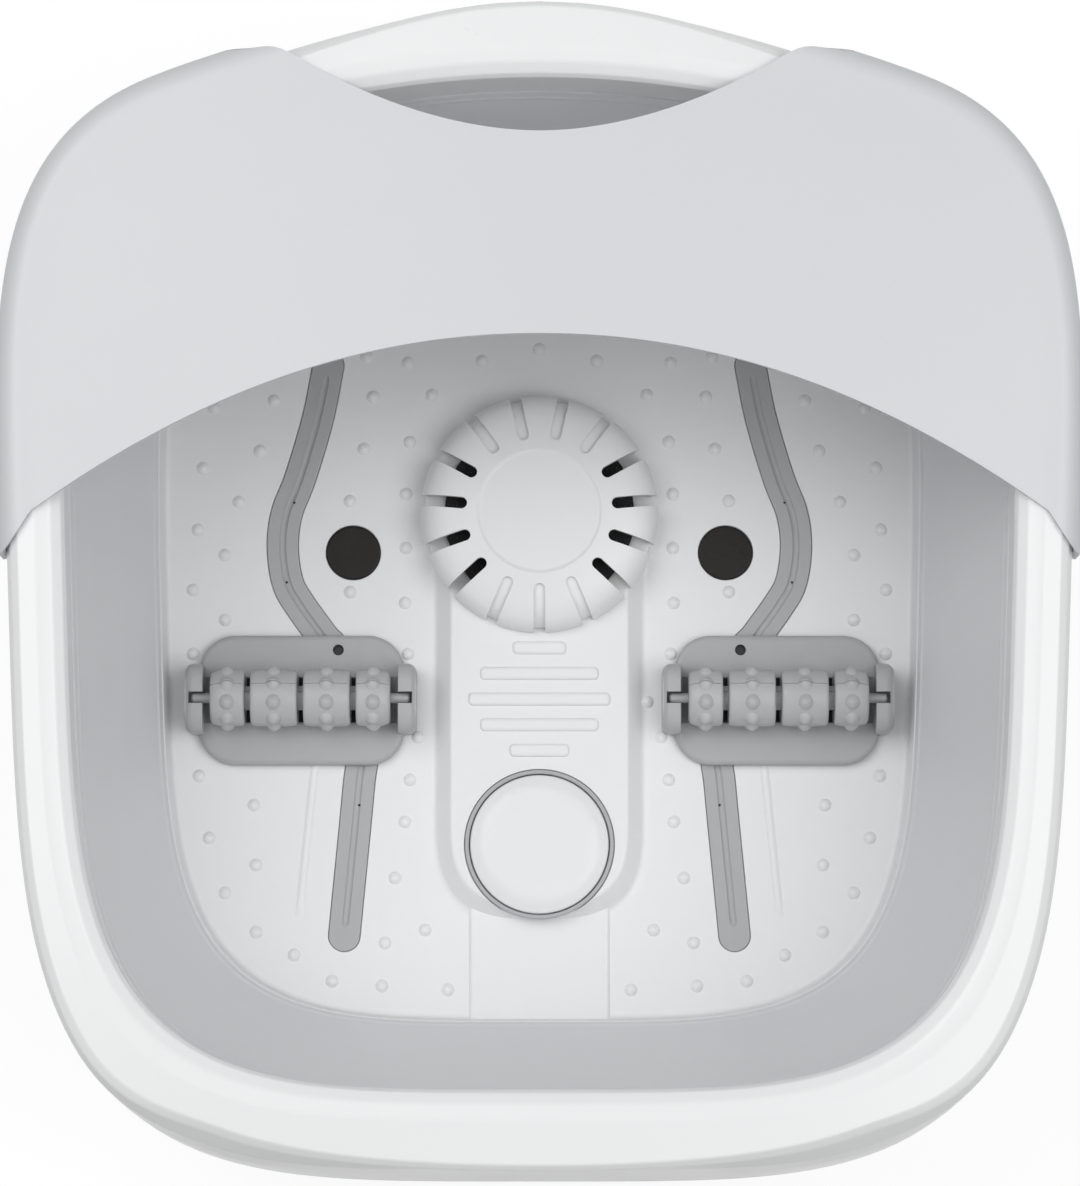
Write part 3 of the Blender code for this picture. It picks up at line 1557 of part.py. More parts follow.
def make_vibration_motor():
    x, y = MOTOR_PLACE
    profile = [
        (MOTOR_RADIUS, -MOTOR_HALF_LENGTH),
        (MOTOR_RADIUS, MOTOR_HALF_LENGTH),
        (SHAFT_RADIUS, MOTOR_HALF_LENGTH),
        (SHAFT_RADIUS, MOTOR_HALF_LENGTH + MOTOR_SHAFT_LENGTH),
    ]
    motor = turned("vibration_motor", profile, STEEL, (x, y, MOTOR_AXIS), 2 * SMALL_STEPS)
    motor.rotation_euler = (0, math.pi / 2, 0)
    half = MOTOR_RADIUS + MOUNT_WALL
    mount = box(
        "vibration_mount",
        (x - MOUNT_HALF_LENGTH, y - half, MOTOR_AXIS - half),
        (x + MOUNT_HALF_LENGTH, y + half, FLOOR_BOTTOM - SEAT_GAP),
        WHITE_SHELL,
    )
    bore = turned(
        "motor bore",
        [
            (MOTOR_RADIUS + SEAT_GAP, -MOUNT_HALF_LENGTH - OVERRUN),
            (MOTOR_RADIUS + SEAT_GAP, MOUNT_HALF_LENGTH + OVERRUN),
        ],
        WHITE_SHELL,
        (x, y, MOTOR_AXIS),
        2 * SMALL_STEPS,
    )
    bore.rotation_euler = (0, math.pi / 2, 0)
    cut(mount, bore)


def make_vibration_weight():
    """A half disc that hangs below the motor's shaft, with a hub round the shaft."""
    start = MOTOR_HALF_LENGTH + (MOTOR_SHAFT_LENGTH - WEIGHT_LENGTH) / 2
    outline = []
    steps = SMALL_STEPS
    for step in range(steps + 1):
        angle = math.pi + math.pi * step / steps
        outline.append((WEIGHT_RADIUS * math.cos(angle), WEIGHT_RADIUS * math.sin(angle)))
    for step in range(1, steps // 2):
        angle = math.pi * step / (steps // 2)
        outline.append((WEIGHT_HUB_RADIUS * math.cos(angle), WEIGHT_HUB_RADIUS * math.sin(angle)))
    rings = [
        [(start + offset, y, height) for y, height in outline] for offset in (0, WEIGHT_LENGTH)
    ]
    location = (*MOTOR_PLACE, MOTOR_AXIS)
    weight = loft("vibration_weight", rings, STEEL, location=location)
    bore = turned(
        "weight bore",
        [
            (SHAFT_RADIUS + SEAT_GAP, start - OVERRUN / 2),
            (SHAFT_RADIUS + SEAT_GAP, start + WEIGHT_LENGTH + OVERRUN / 2),
        ],
        STEEL,
        location,
        SMALL_STEPS,
    )
    bore.rotation_euler = (0, math.pi / 2, 0)
    cut(weight, bore)


def make_electrics():
    board_top = BOARD_BOTTOM + BOARD_THICKNESS
    box("control_board", (*BOARD_LOW, BOARD_BOTTOM), (*BOARD_HIGH, board_top), BOARD_GREEN)
    block_bottom = board_top + SEAT_GAP
    inset = POWER_BLOCK_INSET
    middle = (BOARD_LOW[1] + BOARD_HIGH[1]) / 2
    box(
        "power_block",
        (BOARD_LOW[0] + inset, BOARD_LOW[1] + inset, block_bottom),
        (BOARD_HIGH[0] - inset, middle - inset / 2, block_bottom + POWER_BLOCK_HEIGHT),
        NEAR_BLACK,
    )
    box(
        "lead_terminal",
        (BOARD_LOW[0] + inset, middle + inset / 2, block_bottom),
        (BOARD_HIGH[0] - 2 * inset, BOARD_HIGH[1] - inset, block_bottom + POWER_BLOCK_HEIGHT / 2),
        MID_GREY,
    )


def make_gland():
    y = back_face(GLAND_HEIGHT)
    profile = [
        (GLAND_RADIUS, -SHELL_WALL - GLAND_INSIDE),
        (GLAND_RADIUS, SEAT_GAP),
        (GLAND_FLANGE_RADIUS, SEAT_GAP),
        (GLAND_FLANGE_RADIUS, SEAT_GAP + GLAND_FLANGE_THICKNESS),
        (GLAND_RADIUS, SEAT_GAP + GLAND_OUTSIDE),
        (GLAND_BORE, SEAT_GAP + GLAND_OUTSIDE),
        (GLAND_BORE, -SHELL_WALL - GLAND_INSIDE),
    ]
    gland = turned(
        "cable_gland", profile, RUBBER, (0, y, GLAND_HEIGHT), 2 * SMALL_STEPS, closed=True
    )
    gland.rotation_euler = (gland_turn(), 0, 0)


def make_inner_lead():
    """The mains lead's run inside the base, from the gland to the board's terminal."""
    y = back_face(GLAND_HEIGHT) - SHELL_WALL
    terminal_x = BOARD_LOW[0] + POWER_BLOCK_INSET + 2 * LEAD_RADIUS
    terminal_y = BOARD_HIGH[1] - POWER_BLOCK_INSET + SEAT_GAP
    height = BOARD_BOTTOM + BOARD_THICKNESS + SEAT_GAP + POWER_BLOCK_HEIGHT / 4
    tube(
        "inner_mains_lead",
        [
            (0, y, GLAND_HEIGHT),
            (0, y - 4 * LEAD_RADIUS, GLAND_HEIGHT),
            (terminal_x / 2, (y + terminal_y) / 2, (height + GLAND_HEIGHT) / 2),
            (terminal_x, terminal_y + 3 * LEAD_RADIUS, height),
            (terminal_x, terminal_y, height),
        ],
        LEAD_RADIUS,
        NEAR_BLACK,
        3,
        1,
    )


def main():
    clear_scene()
    make_base_shell()
    make_bottom_cover()
    make_bottom_screws()
    make_feet()
    make_basin_floor()
    make_bellows()
    make_rim_frame()
    make_splash_guard()
    make_dome_cover()
    make_dome_filter()
    make_discs()
    make_strips()
    make_foot_button()
    make_button_seal()
    make_button_spring()
    make_button_switch()
    make_rollers()
    make_heater()
    make_blower_housing()
    make_blower_motor()
    make_impeller()
    make_hoses()
    make_vibration_motor()
    make_vibration_weight()
    make_electrics()
    make_gland()
    make_inner_lead()


main()
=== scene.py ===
"""The looks of a collapsible foot spa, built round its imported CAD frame.

Lengths are in metres in the part's own frame: X to the right, Y to the back and Z up.
"""

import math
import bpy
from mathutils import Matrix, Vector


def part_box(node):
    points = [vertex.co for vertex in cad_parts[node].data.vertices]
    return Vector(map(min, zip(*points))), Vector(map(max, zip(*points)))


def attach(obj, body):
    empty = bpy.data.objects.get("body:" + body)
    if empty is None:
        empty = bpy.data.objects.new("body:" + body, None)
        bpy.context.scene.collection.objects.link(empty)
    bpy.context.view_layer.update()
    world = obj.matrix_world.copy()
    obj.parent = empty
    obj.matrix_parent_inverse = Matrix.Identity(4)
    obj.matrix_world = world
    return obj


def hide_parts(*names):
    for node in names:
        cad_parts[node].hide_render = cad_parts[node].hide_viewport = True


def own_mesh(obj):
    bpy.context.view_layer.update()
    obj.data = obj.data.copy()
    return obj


bl_info = {
    "name": "Collapsible Foot Spa",
    "version": (1, 0, 0),
    "blender": (4, 5, 0),
    "location": "View3D > Sidebar > Foot Spa",
    "description": "Builds the finished pieces of a collapsible foot spa round its frame",
    "category": "Object",
}

from functools import partialmethod

import bmesh
import bpy
import numpy as np
from bpy.props import FloatProperty, FloatVectorProperty, IntProperty, PointerProperty
from mathutils import Matrix, Vector

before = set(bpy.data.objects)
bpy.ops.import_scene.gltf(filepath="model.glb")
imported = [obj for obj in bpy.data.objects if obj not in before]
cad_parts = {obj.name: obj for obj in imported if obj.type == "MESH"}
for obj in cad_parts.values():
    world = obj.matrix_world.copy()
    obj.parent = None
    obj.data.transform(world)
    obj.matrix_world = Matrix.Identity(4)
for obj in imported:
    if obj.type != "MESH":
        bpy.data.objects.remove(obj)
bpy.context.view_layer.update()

CUT, JOIN = "DIFFERENCE", "UNION"
SIDES = ((1, "right"), (-1, "left"))
BASE_LOW = 0.0083
POST_TOP = 0.0600
FLOOR_TOP = 0.0620
PLATEAU_TOP = 0.0700
TRAY_TOP = 0.0800
BELLOWS_LOW = 0.0803
BELLOWS_HIGH = 0.1720
RIM_LOW = 0.1723
RIM_CREST = 0.2140
SKIRT_LOW = 0.1600
GUARD_TOP = 0.2168
GUARD_GAP = 0.0020
GUARD_SLICES = 220
CORNER_PULL = 0.35
FLANK_START = 0.64
FLANK_WIDTH = 0.26
SPINE_HALF = 0.0350
SPINE_END = -0.0810
DOME_Y = 0.0394
DOME_BASE = 0.0703
DOME_SLOTS = 15
THROUGH_SLOTS = (2, 3, 4, 5, 10, 11, 12, 13)
BUTTON_Y = -0.0920
DISC_X = 0.0743
DISC_Y = 0.0248
CRADLE_X = 0.0945
CRADLE_Y = -0.0345
ROLLER_AXIS = 0.0781
ROLLER_TURN = -28
DRUMS = ((-0.0356, -0.0220), (-0.0197, -0.0012), (0.0012, 0.0197), (0.0220, 0.0356))
NECK_PLACES = (-0.02085, 0.0, 0.02085)
PLATE_HOLE = (-0.0145, 0.0200)
STRIP_TOP = 0.0623
STRIP_HALF = 0.0062
STRIP_PITCH = 0.0015
STRIP_BACK = (
    (0.0845, 0.1000), (0.0886, 0.0790), (0.0955, 0.0552), (0.1010, 0.0405), (0.1025, 0.0270),
    (0.1005, 0.0130), (0.0955, 0.0038), (0.0866, -0.0086), (0.0800, -0.0180),
)
STRIP_FRONT = ((0.0710, -0.0520), (0.0720, -0.0700), (0.0775, -0.1280))
AIR_HOLES = ((0.0980, 0.0450), (0.1009, 0.0130), (0.0717, -0.0760))
AIR_INLET = (0.1025, 0.0270)
NUB_PLACES = (
    (0.1302, 0.0830), (0.1062, 0.0859), (0.1345, 0.0589), (0.1118, 0.0657), (0.1201, 0.0452),
    (0.1364, 0.0340), (0.1256, 0.0239), (0.1383, 0.0099), (0.1254, -0.0021), (0.1381, -0.0157),
    (0.0666, 0.0875), (0.0526, 0.1012), (0.0691, 0.1036), (0.0430, 0.0883), (0.0230, 0.1020),
    (0.0702, 0.0665), (0.0518, 0.0693), (0.0757, 0.0456), (0.0533, 0.0484), (0.0533, 0.0267),
    (0.0756, 0.0091), (0.0536, 0.0047), (0.0524, -0.0157), (0.0484, -0.0489), (0.0515, -0.0660),
    (0.0535, -0.0827), (0.0574, -0.1050), (0.0454, -0.1257), (0.0613, -0.1308),
    (0.0625, -0.1479), (0.0363, -0.1494), (0.0823, -0.1459), (0.0974, -0.1356),
    (0.1125, -0.1265), (0.1249, -0.1110), (0.1127, -0.0998), (0.1314, -0.0891),
    (0.1136, -0.0760), (0.1355, -0.0644),
)
MIDDLE_NUBS = ((0.0, 0.1068), (0.0430, -0.0349))
SCREW_PLACES = ((0.1180, 0.1270), (0.1380, 0.0), (0.1130, -0.1250))
SCREW_LOW = 0.0051
FOOT_PLACES = ((0.1160, 0.1020), (0.1160, -0.1000))
INTAKE_PLACE = (-0.0750, 0.0850)
GLAND_PLACE = (0, 0.1732, 0.0300)
GLAND_LEAN = 0.058
SOFTBOX_SIZE = 1.6
SOFTBOX_TARGET = (0, 0, 0.1)


def length(name, description, default):
    return FloatProperty(name=name, description=description, default=default, unit="LENGTH")


class FootSpaSizes(bpy.types.PropertyGroup):
    """Sizes of the finished pieces"""

    well_side: length("Well half width", "Half the width of the soft wall's top edge", 0.1777)
    well_front: length(
        "Well front reach", "From the middle to the front of the soft wall's top edge", 0.1900
    )
    well_back: length(
        "Well back reach",
        "From the middle to the back of the soft wall's top edge, at its corners",
        0.1790,
    )
    well_bulge: length(
        "Well back bulge",
        "How far the middle of the back swells out of the soft wall's top edge",
        0.0126,
    )
    rim_side: length("Rim half width", "Half the width of the rim's outer edge", 0.2001)
    rim_front: length(
        "Rim front reach", "From the middle to the front of the rim's outer edge", 0.2240
    )
    rim_back: length(
        "Rim back reach",
        "From the middle to the back of the rim's outer edge, at its corners",
        0.2020,
    )
    rim_bulge: length(
        "Rim back bulge", "How far the rear grip swells out of the rim's outer edge", 0.0220
    )
    tray_side: length(
        "Footbed half width", "Half the width of the rigid tray at its top edge", 0.1496
    )
    tray_front: length(
        "Footbed front reach",
        "From the middle to the front of the rigid tray at its top edge",
        0.1619,
    )
    tray_back: length(
        "Footbed back reach",
        "From the middle to the back of the rigid tray at its top edge",
        0.1640,
    )
    corner_power: FloatProperty(
        name="Corner power",
        description="How square the outlines are: 2 is an ellipse, higher is squarer",
        default=4.1,
        min=2.0,
    )
    taper: FloatProperty(
        name="Taper",
        description="How much wider the outlines are at the back than at the middle",
        default=0.035,
        subtype="FACTOR",
    )
    grip_half_width: length(
        "Grip half width", "Half the width over which the rim swells into a grip", 0.1440
    )
    nub_radius: length("Nub radius", "Radius of a massage nub on the footbed", 0.0026)
    nub_rise: length("Nub height", "How far a massage nub stands above the footbed", 0.0016)
    roller_radius: length("Roller radius", "Radius of the roller's drums", 0.0112)
    roller_nubs: IntProperty(
        name="Nubs round a drum",
        description="How many nubs stand round each drum of a roller",
        default=9,
        min=3,
    )
    columns: IntProperty(
        name="Outline steps",
        description="How many steps go round each outline",
        default=240,
        min=48,
    )


def colour_property(name, description, default):
    return FloatVectorProperty(
        name=name,
        description=description,
        default=default,
        size=3,
        min=0.0,
        max=1.0,
        subtype="COLOR",
    )


class FootSpaColours(bpy.types.PropertyGroup):
    """Colours of the finishes"""

    shell: colour_property("Shell white", "The rim, the footbed and the base", (0.80, 0.805, 0.81))
    guard: colour_property("Guard grey", "The splash guard", (0.62, 0.635, 0.65))
    wall: colour_property("Wall grey", "The soft folding wall", (0.70, 0.715, 0.73))
    fittings: colour_property("Fittings grey", "The cradles and the strips", (0.41, 0.415, 0.42))
    roller: colour_property("Roller grey", "The massage rollers", (0.46, 0.465, 0.47))
    seal: colour_property("Seal grey", "The ring round the foot button", (0.42, 0.43, 0.44))
    disc: colour_property("Disc black", "The discs in the footbed", (0.014, 0.012, 0.011))
    # Inner black is also the colour of the painted shade: the dark bands and discs in the roller
    # troughs, the cradles' holes and the air holes.
    dark: colour_property("Inner black", "Hidden parts of the drive", (0.02, 0.02, 0.022))
    rubber: colour_property("Foot grey", "The rubber feet and the gland", (0.06, 0.06, 0.065))
    steel: colour_property("Steel", "The screws, the spring and the motors", (0.55, 0.55, 0.54))
    heater: colour_property("Heater copper", "The heating element", (0.62, 0.42, 0.25))
    board: colour_property("Board green", "The circuit board", (0.02, 0.10, 0.04))


def sizes():
    return bpy.context.scene.foot_spa_sizes


def colours():
    return bpy.context.scene.foot_spa_colours


# Meshes and objects


def linked(name, data):
    """A new object in the scene that holds this data."""
    thing = bpy.data.objects.new(name, data)
    bpy.context.scene.collection.objects.link(thing)
    return thing


def mesh_of(shape, name):
    """A mesh with a shape's faces. The shape is used up."""
    mesh = bpy.data.meshes.new(name)
    shape.to_mesh(mesh)
    shape.free()
    return mesh


def shape_of(mesh):
    """A shape with a mesh's faces. The mesh is used up."""
    shape = bmesh.new()
    shape.from_mesh(mesh)
    bpy.data.meshes.remove(mesh)
    return shape


def evaluated(thing):
    """The mesh of an object after its modifiers."""
    graph = bpy.context.evaluated_depsgraph_get()
    return bpy.data.meshes.new_from_object(thing.evaluated_get(graph))


# Node trees


class Wire:
    """A number in a node tree, which can be reckoned with like a plain number."""

    def __init__(self, tree, socket):
        self.tree = tree
        self.socket = socket

    def math(self, operation, *others):
        """What a math node makes of this number and the others."""
        node = self.tree.nodes.new("ShaderNodeMath")
        node.operation = operation
        for slot, value in zip(node.inputs, (self, *others)):
            if isinstance(value, Wire):
                value.into(slot)
            else:
                slot.default_value = value
        return Wire(self.tree, node.outputs[0])

    def into(self, slot):
        self.tree.links.new(self.socket, slot)

    __add__ = partialmethod(math, "ADD")
    __sub__ = partialmethod(math, "SUBTRACT")
    __mul__ = partialmethod(math, "MULTIPLY")
    __truediv__ = partialmethod(math, "DIVIDE")
    __pow__ = partialmethod(math, "POWER")
    __abs__ = partialmethod(math, "ABSOLUTE")

    def toward(self, other, share):
        """This share of the way from this value to the other one."""
        return self + (other - self) * share


def new_group(name, inputs):
    """A geometry tree that takes a mesh, then these inputs, then a material."""
    tree = bpy.data.node_groups.new(name, "GeometryNodeTree")
    sockets = tree.interface
    sockets.new_socket("Geometry", in_out="INPUT", socket_type="NodeSocketGeometry")
    sockets.new_socket("Geometry", in_out="OUTPUT", socket_type="NodeSocketGeometry")
    for label, kind, default in (*inputs, ("Material", "Material", None)):
        socket = sockets.new_socket(label, in_out="INPUT", socket_type="NodeSocket" + kind)
        if default is not None:
            socket.default_value = default
    return tree, tree.nodes.new("NodeGroupInput"), tree.nodes.new("NodeGroupOutput")


def finish_tree(tree, socket, group_in, group_out):
    """Ends a geometry tree with real geometry that wears the material from its input."""
    realize = tree.nodes.new("GeometryNodeRealizeInstances")
    paint = tree.nodes.new("GeometryNodeSetMaterial")
    tree.links.new(socket, realize.inputs[0])
    tree.links.new(realize.outputs[0], paint.inputs["Geometry"])
    tree.links.new(group_in.outputs["Material"], paint.inputs["Material"])
    tree.links.new(paint.outputs[0], group_out.inputs[0])


def grown(mesh, tree, values, drop=()):
    """The shape that a tree makes from a mesh, with its inputs set by name, less some labels."""
    carrier = linked("carrier", mesh)
    modifier = carrier.modifiers.new("shape", "NODES")
    modifier.node_group = tree
    for item in tree.interface.items_tree:
        if item.in_out == "INPUT" and item.name in values:
            modifier[item.identifier] = values[item.name]
    result = evaluated(carrier)
    bpy.data.objects.remove(carrier)
    bpy.data.meshes.remove(mesh)
    for label in drop:
        result.attributes.remove(result.attributes[label])
    return shape_of(result)


OUTLINE = ("Side", "Front", "Back", "Bulge")
OVAL_INPUTS = (
    *("Low " + name for name in OUTLINE),
    *("High " + name for name in OUTLINE),
    "Corner Power",
    "Taper",
    "Taper Reach",
    "Grip Half Width",
)
STATION = ("share", "outset", "height")
STATION += ("grip_outset", "grip_height", "flank_outset", "flank_height")


def named_attribute(tree, name, kind):
    node = tree.nodes.new("GeometryNodeInputNamedAttribute")
    node.data_type = kind
    node.inputs["Name"].default_value = name
    return Wire(tree, node.outputs["Attribute"])


def oval_shell_tree():
    """Places each point of a shell between two tub outlines, by its turn, share and outset."""
    tree = bpy.data.node_groups.get("Oval Shell")
    if tree:
        return tree
    inputs = [(name, "Float", 0.1) for name in OVAL_INPUTS]
    tree, group_in, group_out = new_group("Oval Shell", inputs)
    size = {name: Wire(tree, group_in.outputs[name]) for name in OVAL_INPUTS}
    told = {name: named_attribute(tree, name, "FLOAT") for name in (*STATION, "turn")}
    across = told["turn"].math("COSINE")
    along = told["turn"].math("SINE")
    behind = along.math("GREATER_THAN", 0.0)
    power = size["Corner Power"]
    side, front, back, bulge = (
        size["Low " + name].toward(size["High " + name], told["share"]) for name in OUTLINE
    )
    reach = front.toward(back, behind)

    def radius(outset):
        flat = abs(across / (side + outset)) ** power + abs(along / (reach + outset)) ** power
        return flat ** ((power * -1.0) / (power * power))

    def wave(near):
        return (near.math("MINIMUM", 1.0) * math.pi).math("COSINE")

    def grip(x):
        return (wave(abs(x) / size["Grip Half Width"]) + 1.0) * 0.5

    def flank(x):
        near = (abs(x) / side - FLANK_START) / FLANK_WIDTH
        return (wave(near.math("MAXIMUM", 0.0)) - 1.0) * -0.5

    first = radius(0.0) * across
    shares = {"grip_": grip(first), "flank_": flank(first)}
    for name in ("outset", "height"):
        for part, share in shares.items():
            told[name] = told[name].toward(told[part + name], share)
    outer = radius(told["outset"])
    x = outer * across
    y = outer * along + bulge * grip(x) * behind
    x = x * (y * size["Taper"] / size["Taper Reach"] + 1.0)
    place = tree.nodes.new("ShaderNodeCombineXYZ")
    for slot, value in zip(place.inputs, (x, y, told["height"])):
        value.into(slot)
    mover = tree.nodes.new("GeometryNodeSetPosition")
    tree.links.new(group_in.outputs[0], mover.inputs["Geometry"])
    tree.links.new(place.outputs[0], mover.inputs["Position"])
    finish_tree(tree, mover.outputs[0], group_in, group_out)
    return tree


def copies_tree():
    """Sets a copy of one object's mesh on every point of a mesh, square to the point's facing."""
    tree = bpy.data.node_groups.get("Copies")
    if tree:
        return tree
    inputs = [("Pattern", "Object", None), ("Size", "Float", 1.0)]
    tree, group_in, group_out = new_group("Copies", inputs)
    links = tree.links
    pattern = tree.nodes.new("GeometryNodeObjectInfo")
    links.new(group_in.outputs["Pattern"], pattern.inputs["Object"])
    aim = tree.nodes.new("FunctionNodeAlignRotationToVector")
    aim.axis = "Z"
    named_attribute(tree, "facing", "FLOAT_VECTOR").into(aim.inputs["Vector"])
    spread = tree.nodes.new("GeometryNodeInstanceOnPoints")
    links.new(group_in.outputs[0], spread.inputs["Points"])
    links.new(pattern.outputs["Geometry"], spread.inputs["Instance"])
    links.new(aim.outputs[0], spread.inputs["Rotation"])
    links.new(group_in.outputs["Size"], spread.inputs["Scale"])
    finish_tree(tree, spread.outputs[0], group_in, group_out)
    return tree


def copies(shape, places, facings, finish):
    """A copy of a shape on every place, each turned to its facing."""
    pattern = linked("pattern", mesh_of(shape, "pattern"))
    points = bpy.data.meshes.new("points")
    points.from_pydata([tuple(place) for place in places], [], [])
    attribute = points.attributes.new("facing", "FLOAT_VECTOR", "POINT")
    attribute.data.foreach_set("vector", [part for facing in facings for part in facing])
    values = {"Pattern": pattern, "Size": 1.0, "Material": finish_named(finish)}
    result = grown(points, copies_tree(), values)
    bpy.data.objects.remove(pattern)
    return result


def upright_copies(shape, places, height, finish):
    """Copies of a shape on plan places at one height."""
    spots = [(x, y, height) for x, y in places]
    return copies(shape, spots, [(0, 0, 1)] * len(spots), finish)


# Finishes


class Finish:
    """A material in the making, with its tree, its shader and the object's coordinates."""

    def __init__(self, name):
        self.material = bpy.data.materials.new(name)
        self.material.use_nodes = True
        self.tree = self.material.node_tree
        self.shader = self.tree.nodes["Principled BSDF"]
        self.place = self.tree.nodes.new("ShaderNodeTexCoord").outputs["Object"]

    def add(self, kind, values):
        """A new node of this kind with these inputs."""
        node = self.tree.nodes.new(kind)
        for label, value in values.items():
            node.inputs[label].default_value = value
        return node

    def texture(self, kind, values, place=None):
        """A texture node that lies on the object."""
        node = self.add(kind, values)
        self.tree.links.new(place or self.place, node.inputs["Vector"])
        return node

    def noise(self, scale, detail, stretch=None):
        """Noise with about this many lumps to the metre, drawn out along an axis if asked."""
        place = self.place
        if stretch:
            place = self.texture("ShaderNodeMapping", {"Scale": stretch}).outputs[0]
        node = self.texture("ShaderNodeTexNoise", {"Scale": scale, "Detail": detail}, place)
        return Wire(self.tree, node.outputs["Fac"])

    def coloured(self, first, last, share):
        """Colours the shader between two colours by a 0 to 1 share."""
        mix = self.tree.nodes.new("ShaderNodeMix")
        mix.data_type = "RGBA"
        mix.inputs["A"].default_value = (*first, 1.0)
        mix.inputs["B"].default_value = (*last, 1.0)
        share.into(mix.inputs["Factor"])
        self.tree.links.new(mix.outputs["Result"], self.shader.inputs["Base Color"])

    def tinted(self, colour, amount, share):
        """Colours the shader between a darker and a lighter tint of the colour."""
        darker = [part * (1 - amount) for part in colour]
        lighter = [min(1.0, part * (1 + amount)) for part in colour]
        self.coloured(darker, lighter, share)

    def done(self, rough, height, depth, values):
        """The material, with its roughness, its bump of this depth and its plain values."""
        bump = self.add("ShaderNodeBump", {"Distance": depth, "Strength": 1.0})
        height.into(bump.inputs["Height"])
        self.tree.links.new(bump.outputs[0], self.shader.inputs["Normal"])
        if rough:
            rough.into(self.shader.inputs["Roughness"])
        for label, value in values.items():
            self.shader.inputs[label].default_value = value
        return self.material


def moulded(name, colour, roughness, tint=0.015, grain=900.0, depth=0.00002, coat=0.0):
    """Moulded plastic: faint flow clouds, a fine tool grain and uneven gloss."""
    look = Finish(name)
    clouds = look.noise(scale=9.0, detail=3.0)
    fine = look.noise(scale=grain, detail=2.0)
    look.tinted(colour, tint, clouds * 0.7 + fine * 0.3)
    gloss = look.noise(scale=45.0, detail=4.0) * 0.10 + (roughness - 0.05)
    values = {"Specular IOR Level": 0.45, "Coat Weight": coat, "Coat Roughness": 0.12}
    return look.done(gloss, fine, depth, values)


def elastomer(name, colour):
    """Matt elastomer: fine grain, faint level flow bands and dustier patches."""
    look = Finish(name)
    bands = look.noise(scale=60.0, detail=3.0, stretch=(0.12, 0.12, 1.0))
    clouds = look.noise(scale=14.0, detail=4.0)
    grain = look.noise(scale=1400.0, detail=2.0)
    look.tinted(colour, 0.05, bands * 0.35 + clouds * 0.45 + grain * 0.2)
    values = {"Sheen Weight": 0.12, "Sheen Roughness": 0.5}
    return look.done(clouds * 0.14 + 0.40, grain * 0.7 + bands * 0.3, 0.00004, values)


def speckled(name, colour, fleck, roughness, scale):
    """A dark piece with fine paler flecks."""
    look = Finish(name)
    cells = look.texture("ShaderNodeTexVoronoi", {"Scale": scale})
    near = Wire(look.tree, cells.outputs["Distance"])
    spread = look.noise(scale=scale / 3, detail=2.0)
    flecks = (near * -4.0 + 1.0).math("MAXIMUM", 0.0) * spread
    look.coloured(colour, fleck, flecks)
    rough = look.noise(scale=120.0, detail=3.0) * 0.16 + (roughness - 0.08)
    return look.done(rough, near, 0.00005, {"Specular IOR Level": 0.2})


def brushed(name, colour, roughness, stretch):
    """Metal with fine drawn lines along one axis."""
    look = Finish(name)
    lines = look.noise(scale=900.0, detail=3.0, stretch=stretch)
    stains = look.noise(scale=70.0, detail=4.0)
    look.tinted(colour, 0.10, lines * 0.6 + stains * 0.4)
    return look.done(lines * 0.14 + (roughness - 0.07), lines, 0.00001, {"Metallic": 1.0})


def printed_board(name, colour):
    """A circuit board: green resist over a grid of paler copper tracks."""
    look = Finish(name)
    shades = {"Color1": 1.0, "Color2": 0.85, "Mortar": 2.4}
    values = {
        label: (*[min(1.0, part * shade) for part in colour], 1.0)
        for label, shade in shades.items()
    }
    values |= {"Scale": 120.0, "Mortar Size": 0.05}
    bricks = look.texture("ShaderNodeTexBrick", values)
    look.tree.links.new(bricks.outputs["Color"], look.shader.inputs["Base Color"])
    height = Wire(look.tree, bricks.outputs["Fac"])
    return look.done(None, height, 0.00005, {"Roughness": 0.35})


# The tint, grain and depth of the small fittings' surface
FINE_GRAIN = (0.03, 1100.0, 0.00003)
# Each finish: a slot name, which nothing here reads, the material's name, its maker, its colour
# and its settings
FINISHES = {
    "shell": (
        "shell_white", "white shell plastic", moulded, "shell", 0.30, 0.015, 900.0, 0.00002, 0.15
    ),
    "footbed": ("shell_white", "white footbed plastic", moulded, "shell", 0.36),
    "guard": ("guard_grey", "grey guard plastic", moulded, "guard", 0.38, 0.01, 700.0, 0.00003),
    "wall": ("wall_grey", "soft wall elastomer", elastomer, "wall"),
    "fittings": ("fittings_grey", "grey fittings plastic", moulded, "fittings", 0.40, *FINE_GRAIN),
    "roller": ("fittings_grey", "roller plastic", moulded, "roller", 0.38, *FINE_GRAIN),
    "seal": ("wall_grey", "seal rubber", moulded, "seal", 0.50, 0.03, 1300.0, 0.00003),
    "disc": ("disc_black", "disc black", speckled, "disc", (0.075, 0.065, 0.06), 0.42, 1500.0),
    "filter": ("filter_black", "filter mesh", speckled, "dark", (0.30, 0.30, 0.31), 0.65, 1100.0),
    # dark drive plastic, also worn by the painted shade pieces in the roller troughs and the air
    # holes
    "dark": ("inner_black", "dark drive plastic", moulded, "dark", 0.45, 0.15, 900.0, 0.00004),
    "rubber": ("rubber_grey", "foot rubber", moulded, "rubber", 0.75, 0.15, 1500.0, 0.00008),
    "steel": ("plain_steel", "drawn steel", brushed, "steel", 0.30, (1.0, 0.08, 0.08)),
    "heater": ("plain_steel", "heater plate", brushed, "heater", 0.34, (0.1, 1.0, 0.1)),
    "board": ("board_green", "circuit board", printed_board, "board"),
}


def finish_named(key):
    """The finish that a piece asks for by key, made once."""
    _, name, maker, colour, *settings = FINISHES[key]
    made = bpy.data.materials.get(name)
    return made or maker(name, getattr(colours(), colour), *settings)


def wear_finish(node_name, key):
    """Gives a carried-over CAD node its finish."""
    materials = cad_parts[node_name].data.materials
    materials.clear()
    materials.append(finish_named(key))


# Shapes


